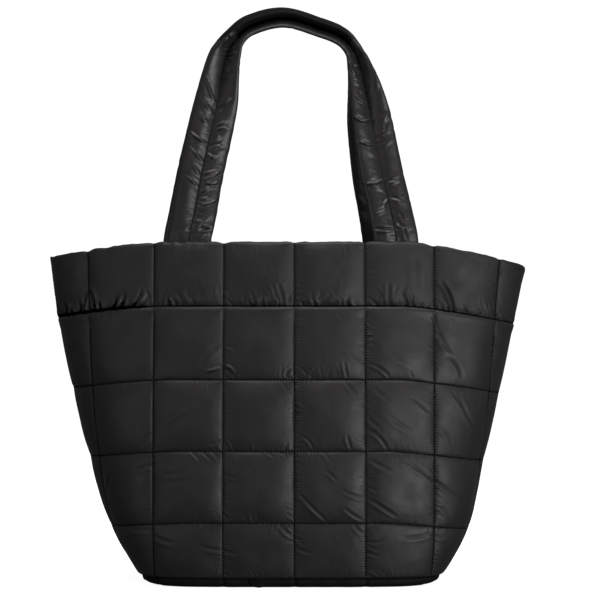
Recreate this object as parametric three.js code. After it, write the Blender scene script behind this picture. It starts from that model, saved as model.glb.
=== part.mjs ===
// A quilted puffer tote bag with two padded shoulder straps, standing on its base.
// Millimetres, +Z up, the front towards -Y. The origin is on the floor under the middle of the bag.
// The bag is an open hollow: front and back body panels meet at side seams, a band of the same cloth
// runs on from them to the rim, a padded base closes the bottom, and each strap is sewn inside the rim.

import * as THREE from 'three';
import { mergeVertices } from 'three/addons/utils/BufferGeometryUtils.js';

// Bag body
const OPENING_WIDTH = 487; // across the rim, side seam to side seam
const BASE_DEPTH = 192; // front to back at the base seam
const BAG_HEIGHT = 335.5; // base seam to the rim at the middle of the front
const SIDE_DROP_LEFT = 15; // how far the rim falls at the left side seam
const SIDE_DROP_RIGHT = 23; // and at the right one
const DROP_START = 0.5; // share of the half width where the fall begins
const DROP_CURVE_LEFT = 1.6; // exponent of the fall from there
const DROP_CURVE_RIGHT = 1.3;

// Quilting
const QUILT = 71; // pitch of the stitched squares
const QUILT_SHIFT = 5.5; // how far the middle stitch line lies right of the bag's middle in front
const PART_FULLNESS = 2; // exponent by which a square that is cut short swells less
const SIDE_FULLNESS = 0.55; // share of the swell that is left at the bag's narrow sides
const BAND_HEIGHT = 67.5; // rim to the band's lower seam
const PUFF = 9; // how far a square swells out of the stitched surface
const WALL = 4; // thickness of the quilted cloth at a stitch line
const ROLL = 4; // how far the body's rolled top edge stands proud of the band
const RIM_ROLL = 2; // the same for the folded rim
const SMALLEST_SQUARE = 0.3; // a part square is at least this share of a whole one
const SEAM_GAP = 0.3; // between pieces that are sewn together

// Base
const BASE_THICKNESS = 9.7;
const BASE_EDGE = 2.5; // height of the base's outer edge above the floor, in front and behind
const BASE_END_LIFT = 2.5; // how much higher it is at the two ends
const BASE_BULGE = 3; // how far that edge swells past the base seam
const BASE_GROOVE = 2.5; // depth of the stitch lines on the underside
const TAB_WIDTH = 22; // folded cloth tab in the front base seam
const TAB_THICKNESS = 2.5;
const TAB_CLEARANCE = 0.7; // from the tab's lower edge to the floor
const TAB_CENTRE = -30; // from the bag's middle

// Straps
const STRAP_WIDTH = 47; // laid flat
const STRAP_THICKNESS = 12;
const STRAP_STITCH = 3; // thickness at the strap's middle stitch line
const STRAP_FOLD_GAP = 0.8; // between the two halves where the arch is folded
const STRAP_SPREAD = 209; // between the middle stitch lines of one strap's two ends, at the rim
const STRAP_RISE = 232; // rim to the stitch line at the top of the arch
const STRAP_SEWN = 46; // length of each end that is sewn inside the rim
const STRAP_GAP = 0.6; // between those ends and the inside of the band
const ARCH_OFFSET = 5; // from the bag's middle plane to the stitch line at the top of the arch
const FACING_SHARE = 0.25; // share of its lean over which a strap turns square to the front

// Mesh fineness
const CELLS = 4; // facets along each side of a quilted square
const BASE_CELLS = 8; // facets across the base
const STRAP_STEPS = 50; // sections along a strap
const TAB_FACETS = 12; // along the tab's curved edge
const ARC_STEPS = 96; // steps that measure a quarter of a section
const ROUTE_STEPS = 400; // steps that measure a strap
const WELD = 1e-3; // points closer than this are one point

const FRONT = -1; // sign of Y on the front half
const BACK = 1;
const UP = new THREE.Vector3(0, 0, 1);

// Horizontal sections of the stitched surface, from the base seam up to the rim.
// at: share of BAG_HEIGHT. left, right: reach to that side as a share of half of OPENING_WIDTH.
// depth: share of BASE_DEPTH. corner: exponent of the superellipse, 2 for an ellipse and more for
// a boxier outline. drop: share of SIDE_DROP_LEFT or SIDE_DROP_RIGHT.
const SECTIONS = [
  { at: 0.0, left: 0.63, right: 0.645, depth: 1.0, corner: 4.4, drop: 0.0 },
  { at: 0.16, left: 0.745, right: 0.75, depth: 1.05, corner: 3.4, drop: 0.42 },
  { at: 0.38, left: 0.838, right: 0.818, depth: 1.02, corner: 2.8, drop: 0.56 },
  { at: 0.59, left: 0.911, right: 0.885, depth: 0.94, corner: 2.4, drop: 0.66 },
  { at: 0.8, left: 0.972, right: 0.945, depth: 0.81, corner: 2.1, drop: 0.78 },
  { at: 1.0, left: 1.01, right: 0.997, depth: 0.68, corner: 2.0, drop: 1.0 },
];

// Route of a strap's middle stitch line, from its left end to its right end, seen from the front.
// across: share of half of STRAP_SPREAD. up: share of the strap's rise, and of STRAP_SEWN below the
// rim. lean: 0 against the bag's wall, 1 over the bag's middle. fold: angle in degrees between each
// half of the strap and the plane it folds about; 90 is flat. turn: degrees by which the strap's
// inner edge turns away from the front. loft: share of STRAP_THICKNESS.
const STRAP_ROUTE = [
  { across: -1.05, up: -1.0, lean: 0.0, fold: 90, turn: 0, loft: 0.5 },
  { across: -1.035, up: 0.0, lean: 0.0, fold: 90, turn: 0, loft: 0.65 },
  { across: -0.99, up: 0.12, lean: 0.13, fold: 80, turn: 10, loft: 0.95 },
  { across: -0.925, up: 0.29, lean: 0.32, fold: 70, turn: 20, loft: 1.0 },
  { across: -0.86, up: 0.43, lean: 0.48, fold: 68, turn: 20, loft: 1.0 },
  { across: -0.785, up: 0.59, lean: 0.65, fold: 58, turn: 12, loft: 1.0 },
  { across: -0.72, up: 0.74, lean: 0.82, fold: 42, turn: 2, loft: 0.9 },
  { across: -0.67, up: 0.83, lean: 0.91, fold: 27, turn: 0, loft: 0.76 },
  { across: -0.6, up: 0.905, lean: 0.96, fold: 19, turn: 0, loft: 0.64 },
  { across: -0.44, up: 0.965, lean: 1.0, fold: 18, turn: 0, loft: 0.6 },
  { across: -0.1, up: 1.0, lean: 1.0, fold: 18, turn: 0, loft: 0.58 },
  { across: 0.26, up: 0.957, lean: 1.0, fold: 18, turn: 0, loft: 0.58 },
  { across: 0.49, up: 0.913, lean: 1.0, fold: 18, turn: 0, loft: 0.6 },
  { across: 0.615, up: 0.845, lean: 0.95, fold: 19, turn: 0, loft: 0.66 },
  { across: 0.66, up: 0.76, lean: 0.85, fold: 29, turn: 0, loft: 0.8 },
  { across: 0.7, up: 0.65, lean: 0.72, fold: 44, turn: 4, loft: 0.95 },
  { across: 0.755, up: 0.52, lean: 0.57, fold: 58, turn: 12, loft: 1.0 },
  { across: 0.855, up: 0.3, lean: 0.33, fold: 68, turn: 20, loft: 1.0 },
  { across: 0.945, up: 0.13, lean: 0.14, fold: 78, turn: 12, loft: 0.95 },
  { across: 1.0, up: 0.0, lean: 0.0, fold: 90, turn: 0, loft: 0.65 },
  { across: 1.02, up: -1.0, lean: 0.0, fold: 90, turn: 0, loft: 0.5 },
];

// The two straps. riseShare: share of STRAP_RISE. endShare, archShare: how far right of the bag's middle
// the strap's ends and its arch lie, in QUILT_SHIFTs. foldShare: share of the folds in STRAP_ROUTE.
const STRAPS = {
  strap_front: { side: FRONT, riseShare: 1.0, endShare: 1.0, archShare: 1.0, foldShare: 1.0 },
  strap_back: { side: BACK, riseShare: 1.02, endShare: -0.65, archShare: 0.55, foldShare: 0.85 },
};

// Outline of one half of the strap's section.
// out: share of half of STRAP_WIDTH from the stitch line. full: share of the half thickness there.
const LOBE = [
  { out: 0.16, full: 0.8 },
  { out: 0.5, full: 1.0 },
  { out: 0.86, full: 0.78 },
];

const BASE_SEAM = BASE_THICKNESS + SEAM_GAP;
const RIM_HEIGHT = BASE_SEAM + BAG_HEIGHT;
const BAND_SHARE = 1 - BAND_HEIGHT / BAG_HEIGHT;

const nylon = new THREE.MeshStandardMaterial({ color: 0x2b2a2b, roughness: 0.48, metalness: 0 });
const strapNylon = new THREE.MeshStandardMaterial({ color: 0x2e2c2e, roughness: 0.38, metalness: 0 });
const baseNylon = new THREE.MeshStandardMaterial({ color: 0x222122, roughness: 0.55, metalness: 0 });
const tabCloth = new THREE.MeshStandardMaterial({ color: 0x2c302e, roughness: 0.6, metalness: 0 });

// Value at x of the smooth cubic through (keys[i], values[i]).
function smoothThrough(keys, values, x) {
  let i = 0;
  while (i < keys.length - 2 && x > keys[i + 1]) i += 1;
  const slope = (k) => {
    const a = Math.max(0, k - 1);
    const b = Math.min(keys.length - 1, k + 1);
    return (values[b] - values[a]) / (keys[b] - keys[a]);
  };
  const span = keys[i + 1] - keys[i];
  const t = Math.min(1, Math.max(0, (x - keys[i]) / span));
  const t2 = t * t;
  const t3 = t2 * t;
  return (
    (2 * t3 - 3 * t2 + 1) * values[i] +
    (t3 - 2 * t2 + t) * span * slope(i) +
    (3 * t2 - 2 * t3) * values[i + 1] +
    (t3 - t2) * span * slope(i + 1)
  );
}

// Columns of a table of named rows, read at x along its key column.
function tableReader(rows, key) {
  const keys = rows.map((row) => row[key]);
  const columns = Object.fromEntries(
    Object.keys(rows[0]).map((name) => [name, rows.map((row) => row[name])]),
  );
  return (name, x) => smoothThrough(keys, columns[name], x);
}

const sectionColumn = tableReader(SECTIONS, 'at');

// A quarter of the bag's outline at a share of its height, on its left or right hand, measured
// along the cloth from the middle of the front to the side seam.
function quarterSection(share, hand) {
  const a = (sectionColumn(hand, share) * OPENING_WIDTH) / 2;
  const b = (sectionColumn('depth', share) * BASE_DEPTH) / 2;
  const n = sectionColumn('corner', share);
  const points = [];
  let length = 0;
  for (let i = 0; i <= ARC_STEPS; i += 1) {
    const t = (Math.PI / 2) * (i / ARC_STEPS);
    const x = i === ARC_STEPS ? a : a * Math.sin(t) ** (2 / n);
    const y = i === ARC_STEPS ? 0 : b * Math.cos(t) ** (2 / n);
    if (i > 0) length += Math.hypot(x - points[i - 1].x, y - points[i - 1].y);
    points.push({ x, y, length });
  }
  return { a, b, n, points, length };
}

const HANDS = {
  left: { drop: SIDE_DROP_LEFT, curve: DROP_CURVE_LEFT, rimQuarter: quarterSection(1, 'left').length },
  right: { drop: SIDE_DROP_RIGHT, curve: DROP_CURVE_RIGHT, rimQuarter: quarterSection(1, 'right').length },
};
const SHORT_QUARTER = Math.min(HANDS.left.rimQuarter, HANDS.right.rimQuarter);
const WHOLE_SQUARES = Math.max(1, Math.floor(SHORT_QUARTER / QUILT - SMALLEST_SQUARE));
const SQUARE_ON = (WHOLE_SQUARES - 1) * QUILT; // the cloth keeps its width up to here

// Point and outward direction of the stitched surface: along is the distance round the rim from the
// middle of the front, negative to the left, and share is the height.
function stitchedPoint(along, share, side) {
  const hand = along < 0 ? 'left' : 'right';
  const sign = along < 0 ? -1 : 1;
  const section = quarterSection(share, hand);
  const { drop, curve, rimQuarter } = HANDS[hand];
  const far = Math.abs(along);
  const easing = (section.length - SQUARE_ON) / (rimQuarter - SQUARE_ON);
  const wanted = far <= SQUARE_ON ? far : SQUARE_ON + (far - SQUARE_ON) * easing;
  let i = 1;
  while (i < ARC_STEPS && section.points[i].length < wanted) i += 1;
  const from = section.points[i - 1];
  const to = section.points[i];
  const t = Math.min(1, (wanted - from.length) / (to.length - from.length));
  const x = from.x + (to.x - from.x) * t;
  const y = from.y + (to.y - from.y) * t;
  const outX = (x / section.a) ** (section.n - 1) / section.a;
  const outY = (y / section.b) ** (section.n - 1) / section.b;
  const size = Math.hypot(outX, outY);
  const beyond = Math.max(0, x / section.a - DROP_START) / (1 - DROP_START);
  const fall = drop * sectionColumn('drop', share) * beyond ** curve;
  return {
    x: sign * x,
    y: side * y,
    z: BASE_SEAM + BAG_HEIGHT * share - fall,
    outX: (sign * outX) / size,
    outY: (side * outY) / size,
  };
}

// Facet lines between the stitch lines of one panel, as {at, within, size}: within runs from 0 to 1
// across the square that the line is in.
function facetLines(seams) {
  const lines = [];
  for (let k = 0; k < seams.length - 1; k += 1) {
    for (let i = 0; i < CELLS; i += 1) {
      const within = i / CELLS;
      const size = seams[k + 1] - seams[k];
      lines.push({ at: seams[k] + size * within, within, size, square: k });
    }
  }
  const last = seams.length - 1;
  lines.push({ at: seams[last], within: 1, size: seams[last] - seams[last - 1], square: last - 1 });
  return lines;
}

// Stitch lines that run up one side of the bag, from one side seam to the other.
function columnSeams(side) {
  const seams = [-HANDS.left.rimQuarter];
  for (let k = -WHOLE_SQUARES; k <= WHOLE_SQUARES; k += 1) seams.push(k * QUILT - side * QUILT_SHIFT);
  seams.push(HANDS.right.rimQuarter);
  return seams;
}

// Stitch lines that run round the body, from the base seam up to the band seam.
function rowSeams() {
  const seams = [BAND_SHARE];
  const rows = Math.max(1, Math.floor((BAND_SHARE * BAG_HEIGHT) / QUILT - SMALLEST_SQUARE) + 1);
  for (let k = 1; k < rows; k += 1) seams.unshift(BAND_SHARE - (k * QUILT) / BAG_HEIGHT);
  seams.unshift(0);
  return seams;
}

// Swell of a square from 0 at its stitches to 1 in its middle, with an edge that may stand proud.
function swell(within, proudEnd) {
  const t = 2 * within - 1;
  const rest = t > 0 ? proudEnd : 0;
  return Math.sqrt(Math.max(0, 1 - (1 - rest * rest) * t * t));
}

// One closed solid from a grid of outer points and a matching grid of inner points.
function shellGeometry(outer, inner, faceOutward) {
  const columns = outer.length;
  const rows = outer[0].length;
  const positions = [];
  [outer, inner].forEach((grid) => grid.forEach((line) => line.forEach((p) => positions.push(...p))));
  const at = (layer, i, j) => layer * columns * rows + i * rows + j;
  const triangles = [];
  const quad = (a, b, c, d) => {
    if (faceOutward) triangles.push(a, b, c, a, c, d);
    else triangles.push(a, c, b, a, d, c);
  };
  for (let i = 0; i < columns - 1; i += 1) {
    for (let j = 0; j < rows - 1; j += 1) {
      quad(at(0, i, j), at(0, i + 1, j), at(0, i + 1, j + 1), at(0, i, j + 1));
      quad(at(1, i, j), at(1, i, j + 1), at(1, i + 1, j + 1), at(1, i + 1, j));
    }
    quad(at(0, i, 0), at(1, i, 0), at(1, i + 1, 0), at(0, i + 1, 0));
    quad(at(0, i, rows - 1), at(0, i + 1, rows - 1), at(1, i + 1, rows - 1), at(1, i, rows - 1));
  }
  for (let j = 0; j < rows - 1; j += 1) {
    quad(at(0, 0, j), at(0, 0, j + 1), at(1, 0, j + 1), at(1, 0, j));
    const end = columns - 1;
    quad(at(0, end, j), at(1, end, j), at(1, end, j + 1), at(0, end, j + 1));
  }
  return closedGeometry(positions, triangles);
}

function closedGeometry(positions, triangles) {
  const geometry = new THREE.BufferGeometry();
  geometry.setAttribute('position', new THREE.Float32BufferAttribute(positions, 3));
  geometry.setIndex(triangles);
  geometry.computeVertexNormals();
  return geometry;
}

function namedMesh(name, geometry, material) {
  const mesh = new THREE.Mesh(geometry, material);
  mesh.name = name;
  return mesh;
}

// A quilted panel from side seam to side seam. topRoll is how far its top edge stands proud.
function quiltedPanel(name, side, seams, topRoll) {
  const columns = facetLines(columnSeams(side));
  const rows = facetLines(seams);
  const lastRow = seams.length - 2;
  const outer = [];
  const inner = [];
  columns.forEach((column) => {
    const outerLine = [];
    const innerLine = [];
    rows.forEach((row, j) => {
      const p = stitchedPoint(column.at, row.at, side);
      const towardsSeam = (j === 0) - (j === rows.length - 1);
      const z = p.z + (towardsSeam * SEAM_GAP) / 2;
      const topSquare = row.square === lastRow;
      const rolled = topSquare && row.within === 1;
      const part = Math.min(1, column.size / QUILT, (row.size * BAG_HEIGHT) / QUILT) ** PART_FULLNESS;
      const full = rolled ? 1 : part * swell(column.within, 0);
      const pulledFlat = 1 - (1 - SIDE_FULLNESS) * Math.abs(p.outX);
      const out = PUFF * full * pulledFlat * swell(row.within, topSquare ? topRoll / PUFF : 0);
      const y = (distance) => side * Math.max(SEAM_GAP / 2, Math.abs(p.y + p.outY * distance));
      outerLine.push([p.x + p.outX * out, y(out), z]);
      innerLine.push([p.x - p.outX * WALL, y(-WALL), z]);
    });
    outer.push(outerLine);
    inner.push(innerLine);
  });
  return namedMesh(name, shellGeometry(outer, inner, side === FRONT), nylon);
}

// The padded base: a slab with the outline of the base seam, stitched in squares underneath and
// flat where it stands on the floor.
function basePanel() {
  const outline = (side) => facetLines(columnSeams(side)).map((column) => ({
    ...stitchedPoint(column.at, 0, side),
    seam: column.within === 0 || column.within === 1,
  }));
  const front = outline(FRONT);
  const back = outline(BACK);
  const under = [];
  const top = [];
  front.forEach((f, i) => {
    const b = back[i];
    const end = i === 0 || i === front.length - 1;
    const underLine = [];
    const topLine = [];
    for (let j = 0; j <= BASE_CELLS; j += 1) {
      const across = j / BASE_CELLS;
      const x = f.x + (b.x - f.x) * across;
      const y = end ? 0 : f.y + (b.y - f.y) * across;
      const onEdge = end || j === 0 || j === BASE_CELLS;
      topLine.push([x, y, BASE_THICKNESS]);
      if (onEdge) {
        const { outX, outY } = j === BASE_CELLS ? b : f;
        const edgeZ = BASE_EDGE + BASE_END_LIFT * Math.abs(outX);
        underLine.push([x + outX * BASE_BULGE, end ? 0 : y + outY * BASE_BULGE, edgeZ]);
      } else {
        const onSeam = f.seam || j === BASE_CELLS / 2;
        underLine.push([x, y, onSeam ? BASE_GROOVE : 0]);
      }
    }
    under.push(underLine);
    top.push(topLine);
  });
  return namedMesh('base_panel', weldedShell(top, under), baseNylon);
}

// As shellGeometry, for grids whose first and last lines shrink to a point.
function weldedShell(outer, inner) {
  const shell = shellGeometry(outer, inner, true);
  shell.deleteAttribute('normal');
  const geometry = mergeVertices(shell, WELD);
  const corners = geometry.getIndex().array;
  const triangles = [];
  for (let i = 0; i < corners.length; i += 3) {
    const [a, b, c] = corners.slice(i, i + 3);
    if (a !== b && b !== c && a !== c) triangles.push(a, b, c);
  }
  geometry.setIndex(triangles);
  geometry.computeVertexNormals();
  return geometry;
}

// The small rounded tab that hangs from the front base seam.
function baseTab() {
  const shape = new THREE.Shape();
  shape.moveTo(-TAB_WIDTH / 2, 0);
  shape.absellipse(0, 0, TAB_WIDTH / 2, BASE_THICKNESS - TAB_CLEARANCE, Math.PI, 2 * Math.PI, false);
  shape.closePath();
  const geometry = new THREE.ExtrudeGeometry(shape, {
    depth: TAB_THICKNESS,
    bevelEnabled: false,
    curveSegments: TAB_FACETS,
  });
  geometry.rotateX(Math.PI / 2);
  const mesh = namedMesh('base_tab', geometry, tabCloth);
  const wall = stitchedPoint(TAB_CENTRE, 0, FRONT);
  mesh.position.set(TAB_CENTRE, wall.y - BASE_BULGE - SEAM_GAP, BASE_THICKNESS);
  return mesh;
}

// The route in millimetres for one strap, read at a distance along it.
function strapRoute({ riseShare, endShare, archShare }) {
  let distance = 0;
  const rows = STRAP_ROUTE.map((row) => ({
    ...row,
    across: (row.across * STRAP_SPREAD) / 2 + QUILT_SHIFT * (endShare + (archShare - endShare) * row.lean),
    up: row.up * (row.up < 0 ? STRAP_SEWN : STRAP_RISE * riseShare),
    turn: row.turn * Math.sign(row.across),
  }));
  rows.forEach((row, i) => {
    if (i > 0) distance += Math.hypot(row.across - rows[i - 1].across, row.up - rows[i - 1].up);
    row.distance = distance;
  });
  return { read: tableReader(rows, 'distance'), length: distance };
}

// How far the wall curves away from its tangent over half a strap's width.
function wallBow(along, share, side) {
  const p = stitchedPoint(along, share, side);
  const bows = [-1, 1].map((hand) => {
    const edge = stitchedPoint(along + (hand * STRAP_WIDTH) / 2, share, side);
    return (p.x - edge.x) * p.outX + (p.y - edge.y) * p.outY;
  });
  return Math.max(0, ...bows);
}

// One point of the strap's middle stitch line, with the direction that its outer face looks in.
function strapPoint(route, distance, { side, foldShare }) {
  const up = route.read('up', distance);
  const lean = Math.max(0, route.read('lean', distance));
  const loft = route.read('loft', distance);
  const along = route.read('across', distance);
  const share = Math.min(1, 1 + up / BAG_HEIGHT);
  const wall = stitchedPoint(along, share, side);
  const standOff = WALL + STRAP_GAP + wallBow(along, share, side) + (loft * STRAP_THICKNESS) / 2;
  const facing = new THREE.Vector3(wall.outX, wall.outY, 0)
    .lerp(new THREE.Vector3(0, side, 0), Math.min(1, lean / FACING_SHARE))
    .normalize();
  const wallY = wall.y - wall.outY * standOff;
  const centre = new THREE.Vector3(
    wall.x - wall.outX * standOff,
    wallY + (side * ARCH_OFFSET - wallY) * lean,
    RIM_HEIGHT + up,
  );
  const degrees = Math.min(90, route.read('fold', distance));
  const closing = foldShare + ((1 - foldShare) * degrees) / 90;
  const fold = THREE.MathUtils.degToRad(degrees * closing);
  const turn = THREE.MathUtils.degToRad(-side * route.read('turn', distance));
  return { centre, facing, loft, fold, turn };
}

// Stations at even steps along the strap.
function strapStations(strapRow) {
  const route = strapRoute(strapRow);
  const lengths = [0];
  let last = strapPoint(route, 0, strapRow).centre;
  for (let i = 1; i <= ROUTE_STEPS; i += 1) {
    const next = strapPoint(route, (route.length * i) / ROUTE_STEPS, strapRow).centre;
    lengths.push(lengths[i - 1] + next.distanceTo(last));
    last = next;
  }
  const stations = [];
  let i = 0;
  for (let k = 0; k <= STRAP_STEPS; k += 1) {
    const wanted = (lengths[ROUTE_STEPS] * k) / STRAP_STEPS;
    while (i < ROUTE_STEPS - 1 && lengths[i + 1] < wanted) i += 1;
    const share = (i + (wanted - lengths[i]) / (lengths[i + 1] - lengths[i])) / ROUTE_STEPS;
    stations.push(strapPoint(route, route.length * share, strapRow));
  }
  return stations;
}

// The strap's section at one station: two padded halves that meet at the middle stitch line.
function strapSection(station, forward) {
  const facing = station.facing.clone().addScaledVector(forward, -station.facing.dot(forward));
  facing.normalize().applyAxisAngle(UP, station.turn);
  facing.addScaledVector(forward, -facing.dot(forward)).normalize();
  const sideways = new THREE.Vector3().crossVectors(facing, forward).normalize();
  const half = STRAP_WIDTH / 2;
  const halfThickness = (station.loft * STRAP_THICKNESS) / 2;
  const ring = [];
  [1, -1].forEach((hand) => {
    const along = sideways.clone().multiplyScalar(hand * Math.sin(station.fold));
    along.addScaledVector(facing, Math.cos(station.fold));
    const face = sideways.clone().multiplyScalar(-hand * Math.cos(station.fold));
    face.addScaledVector(facing, Math.sin(station.fold));
    const point = (out, height) =>
      station.centre.clone().addScaledVector(along, out * half).addScaledVector(face, height);
    // The two halves press against each other inside the fold.
    const pressed = (row) => {
      const room = row.out * half * Math.tan(station.fold) - STRAP_FOLD_GAP / 2;
      return Math.min(row.full * halfThickness, room);
    };
    const inFold = LOBE.map((row) => point(row.out, pressed(row)));
    const outOfFold = LOBE.map((row) => point(row.out, -row.full * halfThickness)).reverse();
    const lobe = [...inFold, point(1, 0), ...outOfFold];
    const notch = station.centre.clone().addScaledVector(facing, (hand * STRAP_STITCH) / 2);
    ring.push(notch, ...(hand === 1 ? lobe : lobe.reverse()));
  });
  return ring;
}

function strap(name) {
  const stations = strapStations(STRAPS[name]);
  const positions = [];
  let ringSize = 0;
  stations.forEach((station, k) => {
    const before = stations[Math.max(0, k - 1)].centre;
    const after = stations[Math.min(stations.length - 1, k + 1)].centre;
    const forward = after.clone().sub(before).normalize();
    const ring = strapSection(station, forward);
    ringSize = ring.length;
    ring.forEach((p) => positions.push(p.x, p.y, p.z));
  });
  const triangles = [];
  const tri = (a, b, c) => triangles.push(a, c, b);
  for (let k = 0; k < stations.length - 1; k += 1) {
    for (let i = 0; i < ringSize; i += 1) {
      const a = k * ringSize + i;
      const b = k * ringSize + ((i + 1) % ringSize);
      tri(a, b, b + ringSize);
      tri(a, b + ringSize, a + ringSize);
    }
  }
  const firstCap = positions.length / 3;
  const ends = [stations[0].centre, stations[stations.length - 1].centre];
  ends.forEach((p) => positions.push(p.x, p.y, p.z));
  const lastRing = (stations.length - 1) * ringSize;
  for (let i = 0; i < ringSize; i += 1) {
    const next = (i + 1) % ringSize;
    tri(firstCap, next, i);
    tri(firstCap + 1, lastRing + i, lastRing + next);
  }
  return namedMesh(name, closedGeometry(positions, triangles), strapNylon);
}

const bag = new THREE.Group();
bag.add(quiltedPanel('body_front', FRONT, rowSeams(), ROLL));
bag.add(quiltedPanel('body_back', BACK, rowSeams(), ROLL));
bag.add(quiltedPanel('rim_band_front', FRONT, [BAND_SHARE, 1], RIM_ROLL));
bag.add(quiltedPanel('rim_band_back', BACK, [BAND_SHARE, 1], RIM_ROLL));
bag.add(basePanel());
bag.add(baseTab());
Object.keys(STRAPS).forEach((name) => bag.add(strap(name)));

export default bag;
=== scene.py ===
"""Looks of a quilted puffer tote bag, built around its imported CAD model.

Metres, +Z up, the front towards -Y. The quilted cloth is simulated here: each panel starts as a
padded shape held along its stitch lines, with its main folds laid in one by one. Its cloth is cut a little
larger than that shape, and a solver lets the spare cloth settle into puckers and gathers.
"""
import math
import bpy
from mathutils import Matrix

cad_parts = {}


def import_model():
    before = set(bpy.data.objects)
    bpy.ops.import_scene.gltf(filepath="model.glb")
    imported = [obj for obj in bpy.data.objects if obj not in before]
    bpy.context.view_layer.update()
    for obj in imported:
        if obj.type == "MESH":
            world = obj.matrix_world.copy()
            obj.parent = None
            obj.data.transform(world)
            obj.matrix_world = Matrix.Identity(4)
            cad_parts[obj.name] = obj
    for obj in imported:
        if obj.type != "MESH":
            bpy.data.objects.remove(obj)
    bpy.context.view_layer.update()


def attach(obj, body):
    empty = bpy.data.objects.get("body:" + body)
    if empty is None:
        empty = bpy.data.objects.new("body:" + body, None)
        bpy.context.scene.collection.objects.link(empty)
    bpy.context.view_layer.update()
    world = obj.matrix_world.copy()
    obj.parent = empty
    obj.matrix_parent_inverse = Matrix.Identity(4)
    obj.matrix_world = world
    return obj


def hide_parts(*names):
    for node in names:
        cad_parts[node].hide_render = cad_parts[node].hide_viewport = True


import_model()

from types import SimpleNamespace

import bmesh
import bpy
import numpy as np
from mathutils import Vector

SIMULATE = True

# Bag body, as in the CAD model
OPENING_WIDTH = 0.487
BASE_DEPTH = 0.192
BAG_HEIGHT = 0.3355
DROP_START = 0.5
SIDE = {"left": {"drop": 0.015, "curve": 1.6}, "right": {"drop": 0.023, "curve": 1.3}}
QUILT = 0.071
QUILT_SHIFT = 0.0055
SIDE_FULLNESS = 0.55
BAND_HEIGHT = 0.0675
CROWN = 0.0056      # height of a whole square's middle above its stitches
WALL = 0.004
SEAM_GAP = 0.0003
BASE_THICKNESS = 0.0097
BASE_SEAM = BASE_THICKNESS + SEAM_GAP
BASE_BULGE = 0.003
TAB_WIDTH = 0.022
TAB_THICKNESS = 0.0025
TAB_CLEARANCE = 0.0007
TAB_CENTRE = -0.030

# Straps, much as in the CAD model
STRAP_WIDTH = 0.0452
STRAP_THICKNESS = 0.012
STRAP_FOLD_GAP = 0.0008
STRAP_SPREAD = 0.209
STRAP_RISE = 0.232
STRAP_SEWN = 0.046
STRAP_GAP = 0.0006
ARCH_OFFSET = 0.005
FACING_SHARE = 0.25

FRONT, BACK = -1, 1
CAMERA = (0.011, -2.58, 0.2865)
PICTURE_MIDDLE = 300
VIEW_SCALE = 2500   # picture points for a metre at one metre
PITCH = {FRONT: 0.00127, BACK: 0.0016}      # pitch of the simulated cloth of the panels
STITCH, STITCH_GAP, THREAD = 0.0016, 0.00125, 0.00046
HOLE = 0.00092      # radius of the dent where the thread goes in
LINING_STEP = 4     # cloth cells along one cell of the lining
ARC_STEPS = 320

# at, left, right, depth, corner, drop
SECTIONS = np.array([
    (0.00, 0.630, 0.645, 1.00, 4.4, 0.00),
    (0.16, 0.745, 0.750, 1.05, 3.4, 0.42),
    (0.38, 0.838, 0.818, 1.02, 2.8, 0.56),
    (0.59, 0.911, 0.885, 0.94, 2.4, 0.66),
    (0.80, 0.972, 0.945, 0.81, 2.1, 0.78),
    (1.00, 1.010, 0.997, 0.68, 2.0, 1.00),
])
COLUMN = {"left": 1, "right": 2}
# across, up, lean, fold, turn, loft
STRAP_ROUTE = np.array([
    (-1.050, -1.000, 0.00, 90, 0, 0.50), (-1.035, 0.000, 0.00, 90, 0, 0.65),
    (-0.990, 0.120, 0.13, 89, -4, 0.95), (-0.925, 0.290, 0.32, 88, -9, 1.00),
    (-0.860, 0.430, 0.48, 85, -9, 1.00), (-0.785, 0.590, 0.65, 74, -5, 1.00),
    (-0.720, 0.740, 0.82, 50, 4, 0.90), (-0.670, 0.830, 0.91, 36, 6, 0.80),
    (-0.600, 0.905, 0.96, 19, 0, 0.64), (-0.440, 0.965, 1.00, 18, 0, 0.60),
    (-0.100, 1.000, 1.00, 18, 0, 0.58), (0.260, 0.957, 1.00, 18, 0, 0.58),
    (0.490, 0.913, 1.00, 18, 0, 0.60), (0.615, 0.845, 0.95, 19, 0, 0.66),
    (0.660, 0.760, 0.85, 31, 4, 0.80), (0.700, 0.650, 0.72, 46, 12, 0.95),
    (0.755, 0.520, 0.57, 64, 15, 1.00), (0.855, 0.300, 0.33, 80, 14, 1.00),
    (0.945, 0.130, 0.14, 86, 9, 0.95), (1.000, 0.000, 0.00, 90, 0, 0.65),
    (1.020, -1.000, 0.00, 90, 0, 0.50),
])
STRAPS = {
    "strap_front": {"side": FRONT, "rise": 1.0, "ends": 1.0, "arch": 1.0, "fold": 1.0,
                    "pitch": 0.00092, "rows": 64},
    "strap_back": {"side": BACK, "rise": 1.02, "ends": -0.65, "arch": 0.55, "fold": 0.85,
                   "pitch": 0.0012, "rows": 48},
}


# Shapes that the CAD model and the cloth share

def smooth_through(keys, rows, x):
    """Rows of a table read at x by the smooth cubic through its keys."""
    i = int(np.clip(np.searchsorted(keys, x) - 1, 0, len(keys) - 2))

    def slope(k):
        a, b = max(0, k - 1), min(len(keys) - 1, k + 1)
        return (rows[b] - rows[a]) / (keys[b] - keys[a])

    span = keys[i + 1] - keys[i]
    t = float(np.clip((x - keys[i]) / span, 0, 1))
    return ((2 * t**3 - 3 * t**2 + 1) * rows[i] + (t**3 - 2 * t**2 + t) * span * slope(i)
            + (3 * t**2 - 2 * t**3) * rows[i + 1] + (t**3 - t**2) * span * slope(i + 1))


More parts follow.
